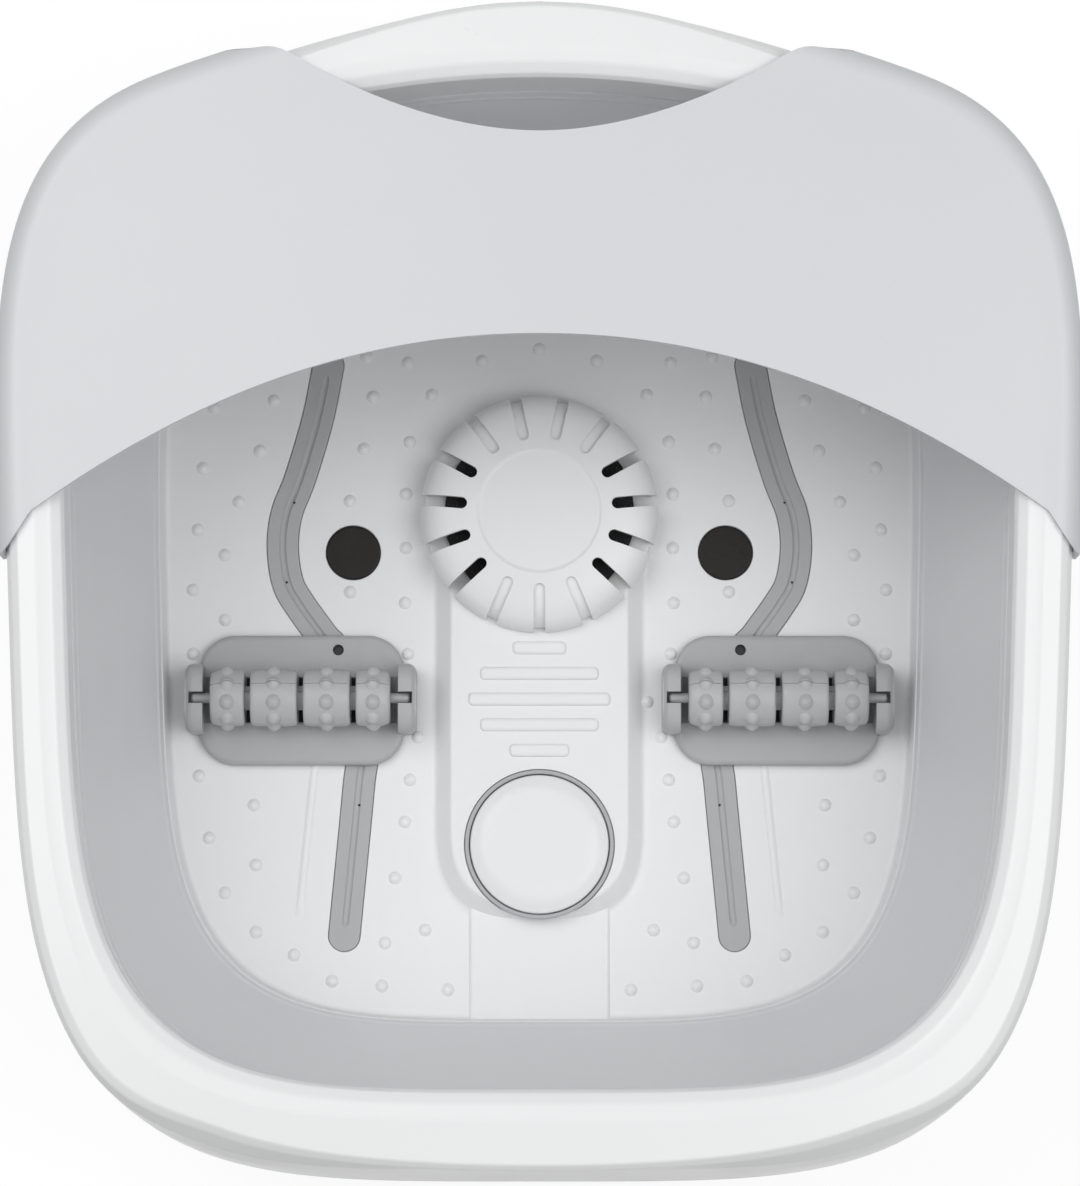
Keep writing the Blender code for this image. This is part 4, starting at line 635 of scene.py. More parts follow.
def add_piece(name, shape, body, finish, *stands_for, sharp=35.0, even=True):
    """Adds a finished piece that rides a body and stands for its CAD nodes."""
    mesh = mesh_of(shape, name)
    mesh.materials.append(finish_named(finish))
    mesh.shade_smooth()
    mesh.set_sharp_from_angle(angle=math.radians(sharp))
    piece = linked(name, mesh)
    if even:
        piece.modifiers.new("even shading", "WEIGHTED_NORMAL").keep_sharp = True
        shaded = evaluated(piece)
        piece.modifiers.clear()
        piece.data = shaded
        bpy.data.meshes.remove(mesh)
        shaded.name = name
    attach(piece, body)
    if stands_for:
        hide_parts(*stands_for)
    return piece


def skin(rings, closed=False):
    """A shape through rings of points, joined end to end or capped."""
    shape = bmesh.new()
    rows = [[shape.verts.new(point) for point in ring] for ring in rings]
    pairs = list(zip(rows, rows[1:]))
    if closed:
        pairs.append((rows[-1], rows[0]))
    for low, high in pairs:
        for corners in zip(low, low[1:] + low[:1], high[1:] + high[:1], high):
            shape.faces.new(corners)
    if not closed:
        shape.faces.new(rows[0][::-1])
        shape.faces.new(rows[-1])
    bmesh.ops.recalc_face_normals(shape, faces=shape.faces)
    return shape


def softened(profile, radius, steps=4, closed=False):
    """A run of points with its corners eased over this radius, in any number of dimensions."""
    points = [np.array(point, float) for point in profile]
    count = len(points)
    result = []
    for index, point in enumerate(points):
        if not closed and index in (0, count - 1):
            result.append(point)
            continue
        reach = radius[index] if isinstance(radius, (list, tuple)) else radius
        start, end = (
            point + away * min(0.5, reach / max(np.linalg.norm(away), 1e-9))
            for away in (points[index - 1] - point, points[(index + 1) % count] - point)
        )
        for step in range(steps + 1):
            t = step / steps
            result.append(start * (1 - t) ** 2 + point * 2 * t * (1 - t) + end * t**2)
    return [tuple(point) for point in result]


def polar(radius, turn, x=0.0, y=0.0):
    """The point at this distance and turn from a centre."""
    return x + radius * math.cos(turn), y + radius * math.sin(turn)


def turned(profile, steps, centre=(0, 0), closed=False):
    """A shape turned about an upright axis from (radius, height) pairs."""
    turns = [2 * math.pi * step / steps for step in range(steps)]
    rings = [[(*polar(radius, turn, *centre), z) for turn in turns] for radius, z in profile]
    return skin(rings, closed)


def lifted(profile, base):
    """(radius, height) pairs whose heights start at a base."""
    return [(radius, base + height) for radius, height in profile]


def oval_radius(across, along, half_x, half_y, power):
    """How far out an oval's edge lies in this direction."""
    return (abs(across / half_x) ** power + abs(along / half_y) ** power) ** (-1 / power)


def signed_power(value, power):
    return math.copysign(abs(value) ** power, value)


def rounded_box(half_x, half_y, corner, steps, centre_y=0.0):
    """A rectangle with round corners, anticlockwise."""
    points = []
    for quarter, (x, y) in enumerate(((1, 1), (-1, 1), (-1, -1), (1, -1))):
        for step in range(steps + 1):
            turn = math.pi / 2 * (quarter + step / steps)
            across, along = polar(corner, turn, x * (half_x - corner), y * (half_y - corner))
            points.append((across, along + centre_y))
    return points


def pillow(outline, low, high, edge, steps, reach=None):
    """An upright shape over an outline, with its top edge rounded inwards."""
    rings = [[(x, y, low) for x, y in outline]]
    for step in range(steps + 1):
        turn = math.pi / 2 * step / steps
        inset = (reach or edge) * (1 - math.cos(turn))
        height = high - edge * (1 - math.sin(turn))
        ring = []
        for index, (x, y) in enumerate(outline):
            before = Vector(outline[index - 1])
            after = Vector(outline[(index + 1) % len(outline)])
            along = (after - before).normalized()
            ring.append((x - along.y * inset, y + along.x * inset, height))
        rings.append(ring)
    return skin(rings)


def slab(outline, low, high):
    return skin([[(x, y, height) for x, y in outline] for height in (low, high)])


def block(low, high):
    corners = [(low[0], low[1]), (high[0], low[1]), (high[0], high[1]), (low[0], high[1])]
    return slab(corners, low[2], high[2])


def merged(shapes):
    """Several shapes in one."""
    whole = bmesh.new()
    for shape in shapes:
        part = mesh_of(shape, "part")
        whole.from_mesh(part)
        bpy.data.meshes.remove(part)
    return whole


def reckoned(shape, *changes, bevel=0.0):
    """A shape after cuts and joins with other shapes, and then a small bevel on sharp edges."""
    host = linked("helper", mesh_of(shape, "helper"))
    helpers = [host]
    for operation, form in changes:
        helpers.append(linked("helper", mesh_of(form, "helper")))
        modifier = host.modifiers.new(operation, "BOOLEAN")
        modifier.operation = operation
        modifier.object = helpers[-1]
        modifier.solver = "EXACT"
    if bevel:
        modifier = host.modifiers.new("edges", "BEVEL")
        modifier.width = bevel
        modifier.segments = 2
        modifier.limit_method = "ANGLE"
        modifier.angle_limit = math.radians(50.0)
    result = shape_of(evaluated(host))
    for thing in helpers:
        data = thing.data
        bpy.data.objects.remove(thing)
        bpy.data.meshes.remove(data)
    return result


def mirrored(places):
    return [(x, y) for x, y in places] + [(-x, y) for x, y in places]


def smooth_path(points, pieces):
    """Points along a smooth curve through the given plan points."""
    guides = [np.array(point, float) for point in points]
    guides = [2 * guides[0] - guides[1], *guides, 2 * guides[-1] - guides[-2]]
    path = []
    for index in range(1, len(guides) - 2):
        before, start, end, after = guides[index - 1 : index + 3]
        for piece in range(pieces):
            t = piece / pieces
            path.append(
                start
                + (end - before) * t / 2
                + (before - 2.5 * start + 2 * end - after / 2) * t**2
                + (1.5 * start - before / 2 - 1.5 * end + after / 2) * t**3
            )
    return path + [guides[-2]]


def even_path(points, pitch):
    """A smooth path through plan points in steps of about this length."""
    path = np.array(smooth_path(points, 12))
    lengths = np.concatenate(([0], np.cumsum(np.linalg.norm(np.diff(path, axis=0), axis=1))))
    places = np.linspace(0, lengths[-1], int(lengths[-1] / pitch) + 1)
    return list(np.stack([np.interp(places, lengths, path[:, axis]) for axis in (0, 1)], axis=1))


def path_sides(path, closed=False):
    """The direction to the right of a plan path at each of its points."""
    last = len(path) - 1
    sides = []
    for index in range(last + 1):
        after, before = min(index + 1, last), max(index - 1, 0)
        if closed:
            after, before = (index + 1) % len(path), index - 1
        along = path[after] - path[before]
        along = along / np.linalg.norm(along)
        sides.append(np.array((along[1], -along[0])))
    return sides


def raised_line(path, half_width, rise, base):
    """A soft low rib along a plan path, which fades at its ends."""
    rings = []
    shares = [-1 + step / 4 for step in range(9)]
    root = base - 0.0010
    for index, (point, side) in enumerate(zip(path, path_sides(path))):
        fade = math.sin(math.pi / 2 * min(1.0, (0.5 + min(index, len(path) - 1 - index)) / 5))
        heights = [base + rise * fade * (1 - s * s) ** 1.2 + 0.00002 for s in shares]
        section = zip((*shares, 1, -1), (*heights, root, root))
        rings.append([(*(point + side * half_width * share), z) for share, z in section])
    return skin(rings)


def ribbon(path, half_width, end_steps):
    """The outline of a band with round ends along a path."""
    sides = [side * half_width for side in path_sides(path)]
    outline = []
    for way in (1, -1):
        outline += [tuple(point + side * way) for point, side in zip(path[::way], sides[::way])]
        end = sides[-1] if way > 0 else -sides[0]
        over = np.array((-end[1], end[0]))
        centre = path[::way][-1]
        for step in range(1, end_steps):
            turn = math.pi * step / end_steps
            outline.append(tuple(centre + (end * math.cos(turn) + over * math.sin(turn))))
    return outline


def channel(path, half_width, low, high):
    """A closed loop of square section along a closed plan path."""
    rings = []
    for point, side in zip(path, path_sides(path, closed=True)):
        inner, outer = point - side * half_width, point + side * half_width
        rings.append([(*inner, low), (*outer, low), (*outer, high), (*inner, high)])
    return skin(rings, closed=True)


# Tub outlines


def outline_angles():
    """The turn of each column, closer together at the corners."""
    s = sizes()
    angles = []
    for step in range(s.columns):
        even = 2 * math.pi * step / s.columns
        across = signed_power(math.cos(even), 2 / s.corner_power)
        along = signed_power(math.sin(even), 2 / s.corner_power)
        cornered = math.atan2(along, across) % (2 * math.pi)
        angles.append(even + (cornered - even) * CORNER_PULL)
    return angles


def grip_share(x):
    """How far the outline swells into the rear grip this far from the middle, from 0 to 1."""
    near = min(abs(x) / sizes().grip_half_width, 1)
    return (1 + math.cos(math.pi * near)) / 2


def rim_point(angle, outset):
    """The plan point of the rim's outer edge in this direction, grown by an outset."""
    s = sizes()
    across, along = math.cos(angle), math.sin(angle)
    reach = s.rim_back if along > 0 else s.rim_front
    radius = oval_radius(across, along, s.rim_side + outset, reach + outset, s.corner_power)
    x = radius * across
    y = radius * along + (s.rim_bulge * grip_share(x) if along > 0 else 0)
    return Vector((x * (1 + s.taper * y / s.well_front), y))


def outline_values(low, high):
    """The oval tree's inputs for a shell between two of the tub's outlines."""
    s = sizes()
    named = {
        "well": (s.well_side, s.well_front, s.well_back, s.well_bulge),
        "rim": (s.rim_side, s.rim_front, s.rim_back, s.rim_bulge),
        "tray": (s.tray_side, s.tray_front, s.tray_back, 0.0),
    }
    rest = (s.corner_power, s.taper, s.well_front, s.grip_half_width)
    return dict(zip(OVAL_INPUTS, (*named[low], *named[high], *rest)))


def padded(stations):
    """Stations whose grips and flanks repeat the outset and height where they give none."""
    return [(*row, *(row[1:3] * 2))[: len(STATION)] for row in stations]


def eased(stations, radius, steps, width):
    """Closed stations with eased corners, where a whole share stands for this width."""
    rows = softened([(row[0] * width, *row[1:]) for row in stations], radius, steps, True)
    return [(row[0] / width, *row[1:]) for row in rows]


def oval_shell(stations, low, high, finish, closed=True):
    """A shell of stations: share, outset, height, then outset and height at grips and flanks."""
    columns = outline_angles()
    count = len(columns)
    rows = padded(stations)
    faces = []
    for row in range(len(rows) if closed else len(rows) - 1):
        here, above = row * count, (row + 1) % len(rows) * count
        for step in range(count):
            after = (step + 1) % count
            faces.append((here + step, here + after, above + after, above + step))
    if not closed:
        faces.append(tuple(range(count))[::-1])
        faces.append(tuple(range((len(rows) - 1) * count, len(rows) * count)))
    mesh = bpy.data.meshes.new("shell")
    mesh.from_pydata([(0, 0, 0)] * (len(rows) * count), [], faces)
    table = {label: np.repeat(numbers, count) for label, numbers in zip(STATION, zip(*rows))}
    table["turn"] = columns * len(rows)
    for label, numbers in table.items():
        attribute = mesh.attributes.new(label, "FLOAT", "POINT")
        attribute.data.foreach_set("value", list(numbers))
    values = outline_values(low, high)
    values["Material"] = finish_named(finish)
    shape = grown(mesh, oval_shell_tree(), values, table)
    bmesh.ops.recalc_face_normals(shape, faces=shape.faces)
    return shape


def tray_shell(profile, radius, steps, finish, closed=True):
    """A shell along the tray's outline from (outset, height) pairs with eased corners."""
    rows = softened([(0.0, *pair) for pair in profile], radius, steps, closed)
    return oval_shell(rows, "tray", "tray", finish, closed)


class FootSpaBuilder:
    """What every operator that builds a piece shares"""

    bl_options = {"REGISTER", "UNDO"}

    def execute(self, context):
        self.build()
        return {"FINISHED"}


class FOOTSPA_OT_base(FootSpaBuilder, bpy.types.Operator):
    """Build the base shell and the bottom cover"""

    bl_idname = "footspa.base"
    bl_label = "Base"

    def build(self):
        high, lip, flange = 0.0767, 0.0036, 0.0737
        profile = [
            (0.0080, BASE_LOW), (0.0086, 0.0180), (0.0089, 0.0184), (0.0112, 0.0700),
            (0.0120, high), (lip, high), (lip, flange), (0.0088, flange), (0.0050, BASE_LOW),
        ]
        radius = [0.0006, 0.0004, 0.0004, 0.002, 0.0024, 0.0004, 0.0004, 0.001, 0.0004]
        shell = tray_shell(profile, radius, 4, "shell")
        gland = at_gland(turned([(0.0078, -0.008), (0.0078, 0.006)], 48))
        shell = reckoned(shell, (CUT, gland))
        add_piece("base_shell_finished", shell, "base", "shell", "base_shell")
        self.cover()

    def cover_posts(self):
        """The posts on the cover that carry the circuit board and the button's switch."""
        root, gap, inset = 0.0074, 0.0001, 0.006
        low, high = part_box("control_board")
        profile = [(0.0030, root), (0.0030, low[2] - gap)]
        xs, ys = ((low[axis] + inset, high[axis] - inset) for axis in (0, 1))
        posts = [turned(profile, 32, (x, y)) for x in xs for y in ys]
        low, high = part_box("button_switch")
        middle = (low[1] + high[1]) / 2
        outline = rounded_box(high[0], high[1] - middle, 0.0010, 4, middle)
        return posts + [slab(outline, root, low[2] - gap)]

    def cover(self):
        """The bottom cover with its posts, screw holes, air slots and two fine grooves."""
        profile = [(0.0062, 0.0050), (0.0074, 0.0054), (0.0080, 0.0066), (0.0080, 0.0080)]
        stations = [(0.0, *pair) for pair in profile]
        cover = oval_shell(stations, "tray", "tray", "shell", closed=False)
        hole = [(0.0038, 0.0), (0.0038, 0.0068), (0.0018, 0.0068), (0.0018, 0.0100)]
        cuts = [turned(hole, 32, place) for place in mirrored(SCREW_PLACES)]
        x, y = INTAKE_PLACE
        for index in range(5):
            middle = y + (index - 2) * 0.0060
            path = smooth_path([(x - 0.0138, middle), (x + 0.0138, middle)], 1)
            cuts.append(slab(ribbon(path, 0.0012, 8), 0.0, 0.0100))
        turns = [2 * math.pi * step / 96 for step in range(96)]
        rings = []
        for half_x, half_y in ((0.0800, 0.0900), (0.0770, 0.0870)):
            radii = [oval_radius(math.cos(t), math.sin(t), half_x, half_y, 5) for t in turns]
            ring = [np.array(polar(radius, turn)) for radius, turn in zip(radii, turns)]
            rings.append((CUT, channel(ring, 0.0006, 0.0046, 0.0056)))
        posts = (JOIN, merged(self.cover_posts()))
        cover = reckoned(cover, posts, (CUT, merged(cuts)), *rings)
        add_piece("bottom_cover_finished", cover, "base", "shell", "bottom_cover")


class FOOTSPA_OT_footbed(FootSpaBuilder, bpy.types.Operator):
    """Build the tray and the footbed with its spine, bars and ridges"""

    bl_idname = "footspa.footbed"
    bl_label = "Footbed"

    def tray(self):
        """The rigid tray with its flange, its wall and its flat floor, as one closed piece."""
        flange = TRAY_TOP - 0.0030
        profile = [
            (-0.0300, 0.0590), (-0.0050, 0.0590), (-0.0012, 0.0600), (0.0028, flange),
            (0.0085, flange), (0.0085, TRAY_TOP), (0.0, TRAY_TOP),
            (-0.0008, FLOOR_TOP + 0.0012), (-0.0020, FLOOR_TOP), (-0.0300, FLOOR_TOP),
        ]
        radius = [0.0, 0.001, 0.002, 0.0006, 0.0006, 0.0006, 0.0012, 0.0018, 0.0014, 0.0]
        return tray_shell(profile, radius, 5, "footbed", closed=False)

    def spine_outline(self, grow):
        """Straight sides from the dome's middle to a round end past the foot button."""
        half = SPINE_HALF + grow
        points = []
        for step in range(65):
            across, along = polar(1.0, math.pi + math.pi * step / 64)
            past = abs(along) ** (2 / 3) * half
            points.append((signed_power(across, 2 / 3) * half, SPINE_END - past))
        return points + [(half, DOME_Y), (-half, DOME_Y)]

    def spine(self):
        """The raised spine with its sloped sides, and the round pad under the dome."""
        root = FLOOR_TOP - 0.0015
        slope = [
            (0.0095, root), (0.0095, FLOOR_TOP - 0.0001), (0.0062, FLOOR_TOP + 0.0003),
            (0.0003, PLATEAU_TOP - 0.0003), (-0.0012, PLATEAU_TOP),
        ]
        rows = softened(slope, [0.0, 0.0, 0.0014, 0.0011, 0.0], 4)
        spine = skin([[(x, y, z) for x, y in self.spine_outline(grow)] for grow, z in rows])
        pad = turned([(0.0462, root), (0.0455, PLATEAU_TOP)], 128, (0, DOME_Y))
        return reckoned(spine, (JOIN, pad))

    def bars(self):
        """The five short bars across the spine."""
        shapes = []
        for index, wide in enumerate((0.0212, 0.0470, 0.0563, 0.0470, 0.0236)):
            y = -0.0343 + (2 - index) * 0.0102
            outline = rounded_box(wide / 2, 0.0026, 0.0018, 8, y)
            low, high = PLATEAU_TOP - 0.0008, PLATEAU_TOP + 0.0013
            shapes.append(pillow(outline, low, high, edge=0.0012, steps=5, reach=0.0014))
        return merged(shapes)

    def band(self):
        """The shallow band that runs from the spine's end to the front wall."""
        outline = rounded_box(0.0278, 0.0260, 0.0020, 6, -0.1390)
        low, high = FLOOR_TOP - 0.0010, FLOOR_TOP + 0.0014
        return pillow(outline, low, high, edge=0.0014, steps=5, reach=0.0019)

    def ridges(self):
        """The low soft line beside each strip's front half."""
        shapes = []
        for side, _ in SIDES:
            path = even_path([(side * 0.0890, -0.0560), (side * 0.0955, -0.1205)], 0.0020)
            shapes.append(raised_line(path, 0.0017, 0.0007, FLOOR_TOP))
        return merged(shapes)

    def seats(self):
        """The seats of the discs and the strips."""
        low, high = 0.0605, 0.0700
        disc = [(0.0111, low), (0.0111, high)]
        cuts = [turned(disc, 64, (side * DISC_X, DISC_Y)) for side, _ in SIDES]
        return merged(cuts + [slab(strip_outline(side, 0.0003), low, high) for side, _ in SIDES])

    def posts(self):
        """The screw posts under the footbed."""
        profile = [(0.0050, BASE_LOW), (0.0050, POST_TOP), (0.0017, POST_TOP), (0.0017, BASE_LOW)]
        return [turned(profile, 24, place, closed=True) for place in mirrored(SCREW_PLACES)]

    def build(self):
        pocket = [(0.0283, 0.0622), (0.0283, 0.0664), (0.0299, 0.0664), (0.0299, 0.0760)]
        pocket = turned(pocket, 96, (0, BUTTON_Y))
        spine = reckoned(self.spine(), (JOIN, self.bars()), (CUT, pocket))
        bed = reckoned(
            self.tray(),
            (JOIN, self.band()),
            (JOIN, self.ridges()),
            (JOIN, spine),
            (CUT, self.seats()),
        )
        whole = merged([bed, *self.posts()])
        add_piece("footbed_finished", whole, "base", "footbed", "basin_floor")


def nub_shape(radius, rise, sink):
    """A low round nub whose foot flows into what carries it, with a small flat on its crown."""
    profile = [(radius, -sink)]
    steps, to_middle = 10, 9.15
    for step in range(steps):
        share = 1 - step / to_middle
        profile.append((radius * share, rise * (1 - share * share) ** 0.95))
    return turned(profile, 24)


class FOOTSPA_OT_nubs(FootSpaBuilder, bpy.types.Operator):
    """Scatter the massage nubs over the footbed"""

    bl_idname = "footspa.nubs"
    bl_label = "Footbed nubs"

    def build(self):
        s = sizes()
        shape = nub_shape(s.nub_radius, s.nub_rise, 0.0004)
        nubs = upright_copies(shape, mirrored(NUB_PLACES) + [*MIDDLE_NUBS], FLOOR_TOP, "footbed")
        add_piece("footbed_nubs", nubs, "base", "footbed")


class FOOTSPA_OT_soft_wall(FootSpaBuilder, bpy.types.Operator):
    """Build the soft wall from the footbed's tray up to the rim"""

    bl_idname = "footspa.soft_wall"
    bl_label = "Soft wall"

    def build(self):
        profile = [
            (0.0, 0.0004), (0.030, 0.0004), (0.046, 0.0), (0.060, 0.0006), (0.500, 0.0011),
            (0.925, 0.0006), (0.940, 0.0), (0.955, 0.0004), (1.0, 0.0), (1.0, 0.0055),
            (0.955, 0.0055), (0.945, 0.0024), (0.500, 0.0028), (0.058, 0.0024),
            (0.046, 0.0052), (0.0, 0.0058),
        ]
        radius = [0.0005, 0.001, 0.0009, 0.001, 0.02, 0.001, 0.0009, 0.001, 0.0005]
        radius += [0.0008, 0.001, 0.001, 0.02, 0.001, 0.001, 0.0008]
        rise = BELLOWS_HIGH - BELLOWS_LOW
        rows = [(share, outset, BELLOWS_LOW + rise * share) for share, outset in profile]
        wall = oval_shell(eased(rows, radius, 4, 0.05), "tray", "well", "wall")
        piece = add_piece("soft_wall", wall, "base", "wall", "bellows", even=False)
        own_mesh(piece)


class FOOTSPA_OT_rim(FootSpaBuilder, bpy.types.Operator):
    """Build the rim with its grips"""

    bl_idname = "footspa.rim"
    bl_label = "Rim"

    def build(self):
        top = RIM_CREST
        wall = 0.0028
        profile = [
            (0, 0.0004, RIM_LOW),
            (0, -0.0006, top - 0.0060),
            (0, 0.0006, top - 0.0034),
            (0, 0.0046, top - 0.0007),
            (0, 0.0100, top + 0.0002),
            (1, -0.0112, top - 0.0008, -0.0066, top - 0.0008, -0.0055, top - 0.0006),
            (1, -0.0084, top - 0.0036, -0.0044, top - 0.0032, -0.0025, top - 0.0028),
            (1, -0.0040, top - 0.0120, -0.0052, top - 0.0062, -0.0009, top - 0.0080),
            (1, -0.0014, top - 0.0260, -0.0036, top - 0.0260, -0.0006, top - 0.0260),
            (1, 0.0, SKIRT_LOW),
            (1, -wall, SKIRT_LOW),
            (1, -0.0068, top - 0.0140, -0.0080, top - 0.0080, -0.0042, top - 0.0100),
            (1, -0.0118, top - 0.0048, -0.0084, top - 0.0046, -0.0066, top - 0.0046),
            (0, 0.0096, top - wall),
            (0, 0.0030, top - 0.0068),
            (0, wall, RIM_LOW),
        ]
        radius = [0.0008, 0.001, 0.0012, 0.002, 0.004, 0.0018, 0.0016, 0.0016, 0.012, 0.0009]
        radius += [0.0006, 0.002, 0.002, 0.002, 0.002, 0.0006]
        rows = eased(padded(profile), radius, 5, 0.0224)
        rim = oval_shell(rows, "well", "rim", "shell")
        add_piece("rim_finished", rim, "rim", "shell", "rim_frame", sharp=50.0)


class FOOTSPA_OT_guard(FootSpaBuilder, bpy.types.Operator):
    """Build the splash guard over the back of the rim"""

    bl_idname = "footspa.guard"
    bl_label = "Splash guard"

    def front_edge(self):
        """The guard's front edge in plan, from left to right."""
        half = 0.1900
        points = []
        for step in range(-60, 61):
            x = half * step / 60
            points.append((x, 0.0919 - 0.0660 * abs(x / half) ** 2.05))
        tips = [(0.1957, 0.0172), (0.1985, 0.0134), (0.2008, 0.0108)]
        tips += [(0.2040, 0.0098), (0.2100, 0.0098)]
        return [(-x, y) for x, y in reversed(tips)] + points + tips

    def scoop(self):
        """The outline of the notch that shows the rear grip, from left to right."""
        shoulder = [(0.0975, 0.2006), (0.1000, 0.2013), (0.1022, 0.2016), (0.1050, 0.2014)]
        shoulder += [(0.1090, 0.2010), (0.1300, 0.2010)]
        points = [(-x, y) for x, y in reversed(shoulder)]
        for step in range(-30, 31):
            x = 0.0940 * step / 30
            points.append((x, 0.1688 + 0.0340 * abs(x / 0.1000) ** 1.9))
        return points + shoulder + [(0.1300, 0.2700), (-0.1300, 0.2700)]

    def section(self, edge, reach_front):
        """One closed slice: up the flange, round the roll, over the plate and back inside."""
        s = sizes()
        wall, drop, roll, crown, chamfer = 0.0025, 0.0300, 0.0100, 0.0070, 0.0004
        outer = edge.length
        unit = edge.normalized()
        crest = (outer - GUARD_GAP) - (s.rim_side - s.well_side) + 0.0095
        inner_end = min(reach_front - 0.004, outer - roll - 0.004)
        low = GUARD_TOP - drop
        heights = (low + 0.0006, low + 0.008)
        face = [(outer, height) for height in heights]
        lining = [(outer - wall, height) for height in heights]
        for step in range(13):
            turn = math.pi / 2 * step / 12
            face.append(polar(roll, turn, outer - roll, GUARD_TOP - roll))
            lining.append(polar(roll - wall, turn, outer - roll, GUARD_TOP - roll))
        for step in range(1, 19):
            radius = outer - roll + (inner_end - outer + roll) * step / 18
            rise = crown * max(0.0, 1 - (radius / crest) ** 2)
            face.append((radius, GUARD_TOP + rise))
            lining.append((radius, GUARD_TOP + rise - wall))
        foot = [(outer - wall + chamfer, low), (outer - chamfer, low)]
        loop = face + lining[::-1] + foot
        return [(unit.x * radius, unit.y * radius, height) for radius, height in loop]

    def build(self):
        front = self.front_edge()
        places = sorted((math.atan2(y, x), math.hypot(x, y)) for x, y in front)
        turns, reaches = zip(*places)
        rings = []
        for step in range(GUARD_SLICES + 1):
            edge = rim_point(math.pi * step / GUARD_SLICES, GUARD_GAP)
            reach = float(np.interp(math.atan2(edge.y, edge.x), turns, reaches))
            rings.append(self.section(edge, reach))
        low, high = GUARD_TOP - 0.036, GUARD_TOP + 0.014
        ahead = front + [(0.2100, -0.0300), (-0.2100, -0.0300)]
        cuts = [(CUT, slab(outline, low, high)) for outline in (ahead, self.scoop())]
        guard = reckoned(skin(rings), *cuts, bevel=0.0007)
        add_piece("guard_finished", guard, "guard", "guard", "splash_guard", sharp=40.0)


class FOOTSPA_OT_dome(FootSpaBuilder, bpy.types.Operator):
    """Build the slotted dome and give the filter under it its finish"""

    bl_idname = "footspa.dome"
    bl_label = "Dome"

    def body(self, sunk):
        """The dome's outer form, or the same form sunk by this depth."""
        root = -0.004 if sunk else 0
        profile = [
            (0.0473, root), (0.0473, 0.0032), (0.0461, 0.0072), (0.0430, 0.0108),
            (0.0378, 0.0131), (0.0300, 0.0143), (0.0248, 0.0150),
        ]
        radius = [0.0, 0.003, 0.003, 0.004, 0.005, 0.004, 0.0]
        (foot_radius, foot), *rows = softened(lifted(profile, DOME_BASE), radius, 4)
        return [(foot_radius - sunk, foot)] + [(r - sunk, z - sunk) for r, z in rows]

    def slots(self, indices):
        """Round-ended cutters that run out past the dome's side."""
        half, out = 0.0023, 0.0520
        outline = [(out, half)]
        outline += [polar(half, math.pi / 2 + math.pi * step / 12, 0.0311) for step in range(13)]
        outline.append((out, -half))
        shapes = []
        for index in indices:
            shape = slab(outline, DOME_BASE - 0.002, DOME_BASE + 0.02)
            turn = Matrix.Rotation(math.radians(360 / DOME_SLOTS * index - 90), 4, "Z")
            shape.transform(Matrix.Translation((0, DOME_Y, 0)) @ turn)
            shapes.append(shape)
        return merged(shapes)

    def build(self):
        place = (0, DOME_Y)
        dip = [(0.0246, 0.0149), (0.0236, 0.0144), (0.0120, 0.0145), (0.0006, 0.0145)]
        crown = softened(lifted(dip, DOME_BASE), 0.0006, 5)
        hollow = [
            (0.0448, -0.002), (0.0448, 0.0032), (0.0436, 0.0056), (0.0408, 0.0083),
            (0.0360, 0.0103), (0.0240, 0.0118), (0.0006, 0.0118),
        ]
        blind = [index for index in range(DOME_SLOTS) if index not in THROUGH_SLOTS]
        grooves = reckoned(self.slots(blind), (CUT, turned(self.body(0.0017), 150, place)))
        dome = reckoned(
            turned(self.body(0) + crown, 150, place),
            (CUT, turned(lifted(hollow, DOME_BASE), 90, place)),
            (CUT, self.slots(THROUGH_SLOTS)),
            (CUT, grooves),
            bevel=0.0003,
        )
        add_piece("dome_finished", dome, "base", "footbed", "dome_cover", sharp=40.0)
        wear_finish("dome_filter", "filter")


def strip_path():
    return even_path(STRIP_BACK + STRIP_FRONT, STRIP_PITCH)


def strip_outline(side, grow):
    outline = ribbon(strip_path(), STRIP_HALF + grow, 16)
    return outline if side > 0 else [(-x, y) for x, y in outline[::-1]]


class FOOTSPA_OT_strips(FootSpaBuilder, bpy.types.Operator):
    """Build the two air strips with their grooves and air holes, and painted shade in the holes"""

    bl_idname = "footspa.strips"
    bl_label = "Air strips"

    def groove(self, side):
        """A round cutter with round ends along the middle of the strip."""
        path = strip_path()[2:-2]
        rings = []
        for index, (point, normal) in enumerate(zip(path, path_sides(path))):
            inward = min(index, len(path) - 1 - index) * STRIP_PITCH
            reach = 0.0016 * math.sqrt(max(0.02, 1 - max(0.0, 1 - inward / 0.003) ** 2))
            ring = []
            for step in range(16):
                across, rise = polar(1.0, 2 * math.pi * step / 16)
                x, y = point + normal * reach * across
                ring.append((side * x, y, STRIP_TOP + 0.0007 + reach * rise))
            rings.append(ring)
        return skin(rings)

    def build(self):
        for side, label in SIDES:
            places = [(side * x, y) for x, y in AIR_HOLES]
            inlet = (side * AIR_INLET[0], AIR_INLET[1])
            holes = [turned([(0.0006, 0.0611), (0.0006, 0.0640)], 16, place) for place in places]
            strip = reckoned(
                pillow(strip_outline(side, 0.0), 0.0608, STRIP_TOP, edge=0.0004, steps=3),
                (JOIN, turned([(0.0030, 0.0508), (0.0030, 0.0612)], 24, inlet)),
                (CUT, self.groove(side)),
                (CUT, merged(holes)),
            )
            name, node = "strip_finished_" + label, "bubble_strip_" + label
            add_piece(name, strip, "base", "fittings", node)
            # painted shade: a dark disc low in each air hole, where the hole falls into shade
            hole_shade_discs = [turned([(0.0005, 0.0609), (0.0005, 0.0612)], 16, place) for place in places]
            add_piece("air_valves_" + label, merged(hole_shade_discs), "base", "dark")


